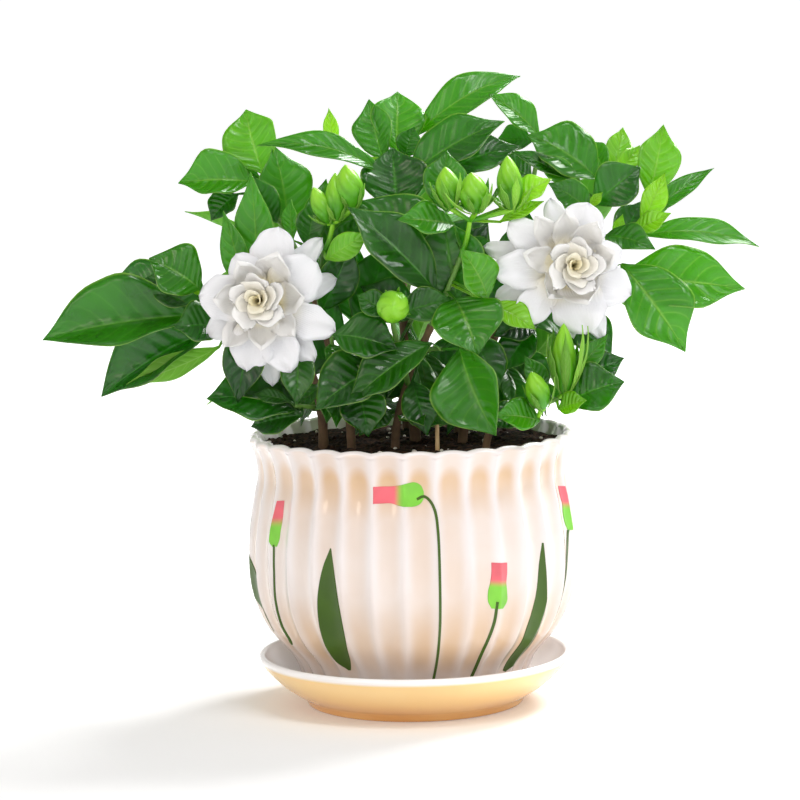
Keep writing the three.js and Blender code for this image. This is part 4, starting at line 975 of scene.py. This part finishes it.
# The heart's rings: how many petals, how far out they reach, their height, span in degrees and tone
HEART_RINGS = [(5, 13, 17, 105, 1.1), (4, 9, 19, 130, 1.25), (3, 5.6, 20, 165, 1.45), (2, 2.8, 20, 235, 1.7)]
HEART_DEPTH = 14
WRAP_ROWS, WRAP_COLUMNS = 12, 15
PETAL_FOLD, INNER_PETAL_FOLD = 10, 24


def add_petals(gather, bloom):
    root = seen(bloom["root"])
    for k, (tip_reading, seen_width, face_reading, arch) in enumerate(bloom["petals"]):
        tip, face = seen(tip_reading), facing(face_reading)
        fold, tone, curl = (INNER_PETAL_FOLD, 1.1, 2.6) if arch < 0 else (PETAL_FOLD, 0.8, 3.0)
        add_blade(
            gather, base=root + (tip - root) * 0.04, tip=tip, face=face, arch=arch, fold=fold, tone=tone,
            width=true_width(root, tip, face, seen_width, PETAL_FOLD), wave=0.06, phase=0.37 * k,
            thickness=PETAL_THICKNESS, profile=petal_profile, ruffle=0.9, curl=curl, cup=2, notch=0.07)
    # The heart is a rosette of small petals, each wrapped a little over the next
    heart = seen(bloom["heart"])
    axis = unit(heart - root)
    draw = seeded_draw(17)
    for ring, (count, reach, height, span, tone) in enumerate(HEART_RINGS):
        for k in range(count):
            turn = 2 * math.pi * (k + draw(-0.12, 0.12) + 0.4 * ring) / count
            add_wrapped_petal(
                gather, heart - axis * HEART_DEPTH, axis, turn, reach * draw(0.9, 1.12),
                height * draw(0.88, 1.08), math.radians(span), tone, draw(0, 1))


def add_wrapped_petal(gather, base, axis, turn, reach, height, span, tone, phase):
    """A petal that wraps round the axis, spiralling outwards to one side, with its rim bent out."""
    side, other = frame_along(axis)
    across = np.linspace(-1, 1, WRAP_COLUMNS)
    upper, lower, uvs = [], [], []
    for t in np.linspace(0, 1, WRAP_ROWS):
        width = math.sin(math.pi * (0.12 + 0.8 * t) ** 1.2) ** 0.5
        turns = turn + across * width * span / 2
        radius = reach * (0.12 + 0.7 * t ** 1.5 + 0.16 * across * t + 0.2 * smoothstep(t, 0.6, 1.2))
        radius = radius + 0.05 * reach * np.sin(4.1 * across + 40 * phase) * t ** 2
        level = height * t * (1 - 0.18 * across ** 2)
        for faces, half in ((upper, PETAL_THICKNESS / 2), (lower, -PETAL_THICKNESS / 2)):
            out = (radius + half)[:, None] * circle(side, other, turns)
            faces.append(base + np.outer(level, axis) + out)
        uvs.append(np.stack([np.full(WRAP_COLUMNS, t), (across + 1) / 2], axis=1))
    add_sheet(gather, upper, lower, uvs, tone)


CALYX_SEPALS = (5, 17, 2.4, 60)


def add_calyx(gather, bloom):
    """The green cup under a bloom, and its narrow sepals."""
    root = seen(bloom["root"])
    axis = unit(seen(bloom["heart"]) - root)
    cup = Curve([root + axis * level for level in CUP_LEVELS])
    add_tube(gather, cup, 2, 4, BUD_SLOT, sides=16)
    add_sepals(gather, root - axis * 6, axis, 2, CALYX_SEPALS, 5)


# Pot: its outside radius by height, the depth of its flutes, its lip and its plain inside
POT_OUTSIDE = [
    (POT_FOOT, 54.5), (24, 60.5), (41, 74), (60, 81.4), (84, 82.5), (104, 79.8), (117, 77.4), (127, 78.6),
    (RIM_HEIGHT - 2, RIM_RADIUS),
]
LIP_WIDTH, LIP_RISE, LIP_WAVE = 2.1, 2.2, 0.9
SAUCER_SIDES = 160
POT_CURVE = Curve([(height, radius, 0) for height, radius in POT_OUTSIDE])
POT_LEVELS = np.array([POT_CURVE.point(k / 400) for k in range(401)])


def pot_radius(height):
    return float(np.interp(height, POT_LEVELS[:, 0], POT_LEVELS[:, 1]))


def flute_depth(height):
    near_foot = float(smoothstep(height, POT_FOOT, 34))
    near_rim = float(smoothstep(height, 122, RIM_HEIGHT))
    return FLUTE_DEPTH * (0.25 + 0.75 * near_foot) * (1 - 0.45 * near_rim)


def groove_at(around):
    """0 on the ridge between two flutes and 1 in the middle of a flute."""
    return abs(math.sin((around - FLUTE_TURN) * FLUTES / 2))


def pot_surface(angle, height, proud=0.0):
    """A point on the fluted outside, at an angle from the front towards the right."""
    around = angle - math.pi / 2
    radius = pot_radius(height) - flute_depth(height) * groove_at(around) + proud
    return np.array([radius * math.cos(around), radius * math.sin(around), height])


def add_turned(gather, profile, sides, tone_of, shape=None):
    """A closed ring of [radius, height] points turned about the axis. shape moves each point."""
    points, tones, uvs = [], [], []
    for k, (radius, height) in enumerate(profile):
        for corner in range(sides):
            around = 2 * math.pi * corner / sides + FLUTE_TURN
            moved, level = shape(radius, height, around, k) if shape else (radius, height)
            points.append((moved * math.cos(around), moved * math.sin(around), level))
            tones.append(tone_of(radius, height, around, k))
            uvs.append((k / len(profile), corner / sides))
    faces = grid_faces(len(profile), sides, closed=True)
    last = (len(profile) - 1) * sides
    for corner in range(sides):
        beside = (corner + 1) % sides
        faces.append((last + corner, last + beside, beside, corner))
    gather.add(np.array(points), faces, np.array(uvs), np.array(tones), 0)


def make_pot(material):
    levels = np.concatenate([[POT_FOOT], np.linspace(POT_FOOT + 0.8, RIM_HEIGHT - 3, 84)])
    outside = [(pot_radius(level), level) for level in levels]
    lip_middle = RIM_RADIUS - LIP_WIDTH
    lip = [(lip_middle + LIP_WIDTH * math.cos(turn), RIM_HEIGHT - LIP_RISE + LIP_RISE * math.sin(turn))
           for turn in np.linspace(-0.2, math.pi, 11)]
    inner_levels = np.linspace(RIM_HEIGHT - 5, POT_FOOT + POT_FLOOR, 14)
    inside = [(pot_radius(level) - POT_WALL, level) for level in inner_levels]
    floor = [(DRAIN_RADIUS, POT_FOOT + POT_FLOOR), (DRAIN_RADIUS, POT_FOOT)]
    profile = outside + lip + inside + floor
    outer_count = len(outside) + len(lip)

    def groove(radius, height, around, k):
        return groove_at(around) if k < len(outside) + 2 else 0.0

    def shape(radius, height, around, k):
        if k >= outer_count + 3:
            return radius, height
        fade = 1.0 if k < outer_count else 0.5
        wave = LIP_WAVE * (groove_at(around) - 0.6) if len(outside) <= k < outer_count else 0.0
        return radius - fade * flute_depth(height) * groove_at(around), height + wave

    gather = Gather()
    add_turned(gather, profile, FLUTES * 14, groove, shape)
    finish_piece(gather, "pot_glazed", [material], "pot", ("groove",))


def make_saucer(material):
    outside = [(0.01, 0), (30, 0), (53, 0), (54.3, 0.5), (54.8, 1.6), (55.2, 3.2), (57, 4.4), (61, 6.6),
               (67, 10.7), (72, 15.5), (75.8, 19.6), (77.4, 22), (78.2, 23.4)]
    lip_turns = np.linspace(-0.1, math.pi * 0.95, 9)
    lip = [(76.9 + 1.6 * math.cos(turn), 24.3 + 1.7 * math.sin(turn)) for turn in lip_turns]
    inside = [(74.6, 22.6), (71.6, 18.8), (66.5, 13.5), (61.8, 9.4), (58.4, 6.8), (56, SAUCER_FLOOR),
              (30, SAUCER_FLOOR), (0.01, SAUCER_FLOOR)]

    def is_outside(radius, height, around, k):
        return 1.0 if k < len(outside) - 1 else 0.0

    gather = Gather()
    add_turned(gather, outside + lip + inside, SAUCER_SIDES, is_outside)
    finish_piece(gather, "saucer_glazed", [material], "saucer", ("outside",))


# Soil: the rings and sides of its mesh, the depth of its skirt, the white grains seen in front, how many
# small ones lie about, and the rings and sides of a grain
SOIL_RINGS, SOIL_SIDES, SOIL_SKIRT = 52, 150, 12
SEEN_GRAINS = [[-11, 144, 70], [-4, 138.5, 70], [7, 134, 70], [22, 131, 70], [18, 137, 70], [26, 132.5, 70]]
SMALL_GRAINS = 130
GRAIN_RINGS, GRAIN_SIDES = 5, 7


def soil_height(x, y):
    radius = math.hypot(x, y)
    mound = 2.0 * (1 - (radius / 75) ** 2)
    lumps = 0.9 * math.sin(x * 0.21 + 1) * math.cos(y * 0.19) + 0.6 * math.sin(x * 0.53 + y * 0.4)
    crumbs = 0.5 * math.sin(x * 1.3 + 2 * math.sin(y * 0.9)) * math.cos(y * 1.7)
    return SOIL_TOP - 0.8 + mound + lumps + crumbs


def make_soil(material, white):
    gather = Gather()
    edge = pot_radius(SOIL_TOP) - POT_WALL - 0.4
    flat = circle(np.array([1, 0]), np.array([0, 1]), turns_of(SOIL_SIDES))
    rows = []
    for k in range(SOIL_RINGS):
        ring = edge * max(k, 0.02) / (SOIL_RINGS - 1) * flat
        rows.append(np.array([(x, y, soil_height(x, y)) for x, y in ring]))
    rows.append(np.array([(x, y, SOIL_TOP - SOIL_SKIRT) for x, y in edge * flat]))
    add_rings(gather, rows, 0.0, 0)
    draw = seeded_draw(23)
    spots = [(seen(grain)[0], seen(grain)[1], 1.9) for grain in SEEN_GRAINS]
    for _ in range(SMALL_GRAINS):
        radius, around = edge * math.sqrt(draw(0, 0.95)), draw(0, 2 * math.pi)
        spots.append((radius * math.cos(around), radius * math.sin(around), draw(0.4, 1.5)))
    for x, y, size in spots:
        slot = 1 if draw(0, 1) < 0.4 or size > 1.6 else 0
        add_grain(gather, np.array([x, y, soil_height(x, y) + 0.3 * size]), size, draw, slot)
    finish_piece(gather, "soil_and_grains", [material, white], "potting_soil", ())


def add_grain(gather, centre, size, draw, slot):
    rows = []
    for lift in np.linspace(-math.pi / 2, math.pi / 2, GRAIN_RINGS):
        row = []
        for turn in turns_of(GRAIN_SIDES):
            way = (math.cos(lift) * math.cos(turn), math.cos(lift) * math.sin(turn), 0.8 * math.sin(lift))
            row.append(centre + size * draw(0.75, 1.15) * np.array(way))
        rows.append(row)
    add_rings(gather, rows, 0.0, slot)


# The painted ornament: buds, stems and blades laid on the glaze. Its readings are pixels of the 800 by 800
# view, which are carried along the line of sight to the pot's outside.
AHEAD_OF_POT = 100
PAINT_PROUD = 0.25
PAINT_ROWS, PAINT_COLUMNS = 90, 24
LINE_POINTS = 24
PAINT_SCALE = 80
STEM_LIFT = 0.08
PAINT_PINK, PAINT_GREEN, PAINT_DARK = srgb(232, 104, 116), srgb(126, 204, 62), srgb(60, 92, 6)


def view_axes():
    forward = unit(VIEW_TARGET - VIEWER)
    right = unit(np.cross(forward, UPRIGHT))
    up = np.cross(right, forward)
    rolled_right = right * math.cos(VIEW_ROLL) - up * math.sin(VIEW_ROLL)
    rolled_up = up * math.cos(VIEW_ROLL) + right * math.sin(VIEW_ROLL)
    return forward, rolled_right, rolled_up


def on_pot(pixel):
    """The angle from the front and the height at which the line of sight through a pixel meets the pot."""
    forward, right, up = view_axes()
    reach = float(np.linalg.norm(VIEW_TARGET - VIEWER)) * PIXELS_PER_MM
    way = forward * reach + right * (pixel[0] - PIXELS / 2) + up * (PIXELS / 2 - pixel[1])
    far = -VIEWER[1] / way[1]
    near = far - AHEAD_OF_POT / way[1]
    for _ in range(40):
        middle = (near + far) / 2
        x, y, z = VIEWER + way * middle
        if math.hypot(x, y) > pot_radius(z):
            near = middle
        else:
            far = middle
    x, y, z = VIEWER + way * near
    return math.atan2(x, -y), z


def add_paint(gather, colors, edges, shades, lift, turn):
    """A strip of paint between two edges, each a list of [angle, height], turned about the pot by an angle.
    shades gives its first and last colour, and the share along it where they change."""
    first, last, change = shades
    curves = [Curve([(angle * PAINT_SCALE, height, 0) for angle, height in edge]) for edge in edges]
    outer, inner, uvs = [], [], []
    for row in range(PAINT_ROWS):
        along = row / (PAINT_ROWS - 1)
        start, end = (curve.point(along) for curve in curves)
        share = float(smoothstep(along, change - 0.1, change + 0.1))
        colors += [[a + (b - a) * share for a, b in zip(first, last)]] * PAINT_COLUMNS
        across = np.linspace(0, 1, PAINT_COLUMNS)
        places = [start + (end - start) * part for part in across]
        for layer, proud in ((outer, PAINT_PROUD + lift), (inner, -PAINT_PROUD)):
            layer.append([pot_surface(x / PAINT_SCALE + turn, level, proud) for x, level, _ in places])
        uvs.append(np.stack([np.full(PAINT_COLUMNS, along), across], axis=1))
    colors += colors[-PAINT_ROWS * PAINT_COLUMNS:]
    add_sheet(gather, outer, inner, uvs, 0.0, under_slot=0)


def read_edges(edges):
    return [[on_pot(pixel) for pixel in edge] for edge in edges]


def line_edges(pixels, width):
    """The two edges of a painted line through pixels, as angles and heights."""
    curve = Curve([(x, y, 0) for x, y in pixels])
    left, right = [], []
    for k in range(LINE_POINTS):
        share = k / (LINE_POINTS - 1)
        place, way = curve.point(share), curve.tangent(share)
        off = np.array([-way[1], way[0], 0]) * width / 2
        left.append(place - off)
        right.append(place + off)
    return read_edges((left, right))


# Painted buds as their two long edges and the share where pink ends, stems with their widths, and blades
PAINTED_BUDS = [
    ([(373, 487), (382, 487), (391, 487), (398, 486), (406, 484), (415, 483), (421, 486), (424, 492)],
     [(373, 504), (382, 504), (391, 504), (398, 506), (406, 507), (415, 507), (421, 504), (424, 499)], 0.42),
    ([(276, 501), (274, 510), (272, 520), (270, 532), (269, 540), (271, 547)],
     [(281, 501), (280, 510), (279, 520), (277, 532), (276, 540), (274, 547)], 0.44),
    ([(493, 563), (493, 573), (492, 583), (490, 592), (490, 602), (493, 609)],
     [(509, 563), (509, 573), (508, 583), (509, 592), (509, 602), (504, 609)], 0.42),
    ([(562, 486), (564, 496), (566, 504), (567, 514), (569, 524), (571, 530)],
     [(567, 486), (569, 496), (571, 504), (573, 514), (574, 524), (573, 530)], 0.42),
]
PAINTED_STEMS = [
    ([(417, 500), (424, 497), (430, 501), (435, 511), (438, 530), (440, 580), (440, 630), (437, 662),
      (433, 682)], 2.8),
    ([(272, 545), (272, 570), (274, 600), (281, 625), (292, 645)], 1),
    ([(498, 602), (495, 622), (489, 640), (480, 660), (471, 680)], 2.2),
    ([(571, 530), (571, 555), (569, 580), (562, 605), (551, 632)], 1),
]
PAINTED_BLADES = [
    ([(328, 549), (321, 567), (317, 590), (317, 612), (321, 634), (328, 651), (337, 663), (347, 671)],
     [(329, 549), (331, 562), (334, 580), (337, 598), (341, 618), (345, 640), (348, 658), (349, 671)]),
    ([(544, 543), (542, 565), (540, 590), (531, 625), (519, 650), (505, 671)],
     [(545, 543), (547, 568), (547, 598), (542, 628), (528, 652), (507, 672)]),
]
# One more blade passes out of sight round the left, so its edges are degrees from the front and heights
PAINTED_SIDE_BLADE = (
    [(-92, 94), (-92, 84), (-89, 72), (-84, 60), (-78, 50), (-71, 41)],
    [(-91, 94), (-86, 84), (-79, 73), (-73, 62), (-70.5, 52), (-70.5, 41)],
)


def make_ornament(material):
    """Every stroke is painted twice, on the front and on the back of the pot."""
    strokes = [(read_edges(edges), (PAINT_PINK, PAINT_GREEN, change), 0.0) for *edges, change in PAINTED_BUDS]
    side_blade = [[(math.radians(angle), height) for angle, height in edge] for edge in PAINTED_SIDE_BLADE]
    one_shade = (PAINT_DARK, PAINT_DARK, 0.5)
    strokes += [(line_edges(pixels, width), one_shade, STEM_LIFT) for pixels, width in PAINTED_STEMS]
    strokes += [(edges, one_shade, 0.0) for edges in [*map(read_edges, PAINTED_BLADES), side_blade]]
    gather, colors = Gather(), []
    for turn in (0.0, math.pi):
        for edges, shades, lift in strokes:
            add_paint(gather, colors, edges, shades, lift, turn)
    piece = finish_piece(gather, "painted_ornament", [material], None, ())
    layer = piece.data.color_attributes.new("paint", "FLOAT_COLOR", "POINT")
    layer.data.foreach_set("color", np.array(colors).ravel())


# The plant: one piece for each stem, spray and bloom
def make_leafy_stem(name, curve, radius, tip_radius, blades, materials):
    gather = Gather()
    add_tube(gather, curve, radius, tip_radius, 2)
    for blade in blades + undergrowth(name, curve):
        add_blade(gather, **blade)
    finish_piece(gather, name + "_leaves", materials, name)


def make_stems(bark, dry, leaf_materials):
    for number, (name, (radius, path)) in enumerate(WOODY_STEMS.items()):
        gather = Gather()
        add_tube(gather, stem_curve(path), radius * 1.05, radius * 0.85, 0, 40, 14, 0.06, 5 + number)
        finish_piece(gather, name + "_bark", [bark], name)
    gather = Gather()
    add_tube(gather, stem_curve(STICK[1]), STICK[0], STICK[0], 0, 12, 10, 0.05)
    finish_piece(gather, "plant_stick_wood", [dry], "plant_stick")
    for number, (name, (radius, path, leaves)) in enumerate(LEAFY_STEMS.items()):
        curve = stem_curve(path)
        blades = [read_leaf(leaf, curve, 0.37 * k + 0.21 * number) for k, leaf in enumerate(leaves)]
        make_leafy_stem(name, curve, radius, radius * 0.8, blades, leaf_materials)
    for number, (name, (path, count, longest)) in enumerate(REAR_STEMS.items()):
        curve = stem_curve(path)
        blades = whorl(curve, count, longest, 11 + 7 * number)
        make_leafy_stem(name, curve, REAR_RADIUS, REAR_TIP_RADIUS, blades, leaf_materials)


def make_flowers(petal, bud_materials):
    for name, (stalk, buds, sepals, leaves) in BUD_SPRAYS.items():
        gather = Gather()
        curve = stem_curve(stalk)
        add_tube(gather, curve, BUD_STALK_RADIUS, BUD_LINK_RADIUS, BUD_SLOT)
        joint = seen(stalk[-1])
        for k, reading in enumerate(buds):
            foot = seen(reading[0])
            link = Curve([joint, (joint + foot) / 2, foot + unit(foot - joint)])
            add_tube(gather, link, BUD_LINK_RADIUS, BUD_FOOT_RADIUS, BUD_SLOT)
            add_bud(gather, reading, sepals, 31 + 7 * k)
        for k, leaf in enumerate(leaves):
            add_blade(gather, **read_leaf(leaf, curve, 0.37 * k))
        finish_piece(gather, name + "_green", bud_materials, name)
    for side, bloom in BLOOMS.items():
        gather = Gather()
        add_petals(gather, bloom)
        finish_piece(gather, f"bloom_{side}_white", [petal, petal], f"bloom_{side}_petals")
        gather = Gather()
        add_tube(gather, stem_curve(bloom["stalk"]), STALK_RADIUS, STALK_RADIUS, BUD_SLOT)
        add_calyx(gather, bloom)
        finish_piece(gather, f"bloom_{side}_stalk", bud_materials, f"bloom_{side}_calyx")


# The scene: a pale floor, soft light and a camera where the viewer stands, all in metres
def make_floor():
    """The floor shines a little more with distance, so that it fades into the white surround."""
    bpy.ops.mesh.primitive_plane_add(size=30, location=(0, 0, 0))
    floor = bpy.context.object
    floor.name = "pale_floor"
    tree = Tree("pale_floor")
    length = tree.nodes.new("ShaderNodeVectorMath")
    length.operation = "LENGTH"
    tree.links.new(tree.place(), length.inputs[0])
    glow = tree.ramp(length.outputs["Value"], 0.2, 2.2, 0.15, 0.6, False)
    tree.put(tree.shader.inputs["Emission Strength"], glow)
    material = tree.finish(
        tree.mix(tree.noise(2.0), (0.8, 0.8, 0.8, 1), (0.82, 0.82, 0.82, 1)), 0.9, Specular_IOR_Level=0.1,
        Emission_Color=(1, 1, 1, 1))
    floor.data.materials.append(material)
    floor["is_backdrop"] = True


def add_area(name, place, aim, size, power, color=(1, 1, 1)):
    light = bpy.data.lights.new(name, "AREA")
    light.shape = "DISK"
    light.size = size
    light.energy = power
    light.color = color
    lamp = bpy.data.objects.new(name, light)
    lamp.location = place
    lamp.rotation_euler = (Vector(aim) - Vector(place)).to_track_quat("-Z", "Y").to_euler()
    bpy.context.scene.collection.objects.link(lamp)


def make_light():
    """A surround that is white at the horizon and dimmer above, and four soft windows."""
    world = bpy.data.worlds.new("white_surround")
    world.use_nodes = True
    nodes, links = world.node_tree.nodes, world.node_tree.links
    place = nodes.new("ShaderNodeTexCoord")
    split = nodes.new("ShaderNodeSeparateXYZ")
    links.new(place.outputs["Generated"], split.inputs[0])
    ramp = nodes.new("ShaderNodeMapRange")
    ramp.interpolation_type = "SMOOTHSTEP"
    for socket, value in zip(ramp.inputs[1:5], (0.1, 0.5, 1.05, 0.45)):
        socket.default_value = value
    links.new(split.outputs[2], ramp.inputs[0])
    links.new(ramp.outputs[0], nodes["Background"].inputs["Strength"])
    nodes["Background"].inputs["Color"].default_value = (1, 1, 1, 1)
    bpy.context.scene.world = world
    add_area("window_right_back", (1.0, 1.0, 1.6), (0, 0, 0.2), 0.9, 56)
    add_area("window_right_front", (1.4, -1.3, 1.5), (0, 0, 0.2), 0.7, 10)
    add_area("window_above", (0.3, -0.8, 1.7), (0, 0, 0.2), 0.45, 7)
    add_area("window_left_front", (-1.2, -1.4, 0.9), (0, 0, 0.15), 0.8, 6, (1.0, 0.88, 0.74))
    bpy.context.scene.view_settings.view_transform = "Standard"
    bpy.context.scene.view_settings.exposure = 0.0


def make_camera():
    forward, rolled_right, rolled_up = view_axes()
    data = bpy.data.cameras.new("viewer")
    focal_pixels = float(np.linalg.norm(VIEW_TARGET - VIEWER)) * PIXELS_PER_MM
    data.sensor_width = SENSOR
    data.lens = focal_pixels * SENSOR / PIXELS
    data.clip_start = 0.05
    camera = bpy.data.objects.new("viewer", data)
    columns = [rolled_right, rolled_up, -forward]
    turn = Matrix([[column[row] for column in columns] for row in range(3)])
    camera.matrix_world = Matrix.Translation(Vector(VIEWER * MM)) @ turn.to_4x4()
    bpy.context.scene.collection.objects.link(camera)
    bpy.context.scene.camera = camera


make_camera()
make_floor()
make_light()
make_pot(white_glaze_material())
make_ornament(paint_material())
make_saucer(tan_glaze_material())
make_soil(soil_material(), mottled_material("white_grain"))
leaf_faces = [leaf_material("leaf_upper", True), leaf_material("leaf_under", False)]
stem_green, bark, dry_wood = map(mottled_material, ("stem_green", "brown_bark", "dry_wood"))
make_stems(bark, dry_wood, [*leaf_faces, stem_green])
make_flowers(petal_material(), [*leaf_faces, bud_material()])

[[list(map(float, corner)) for corner in box] for box in (cad_box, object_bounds())]
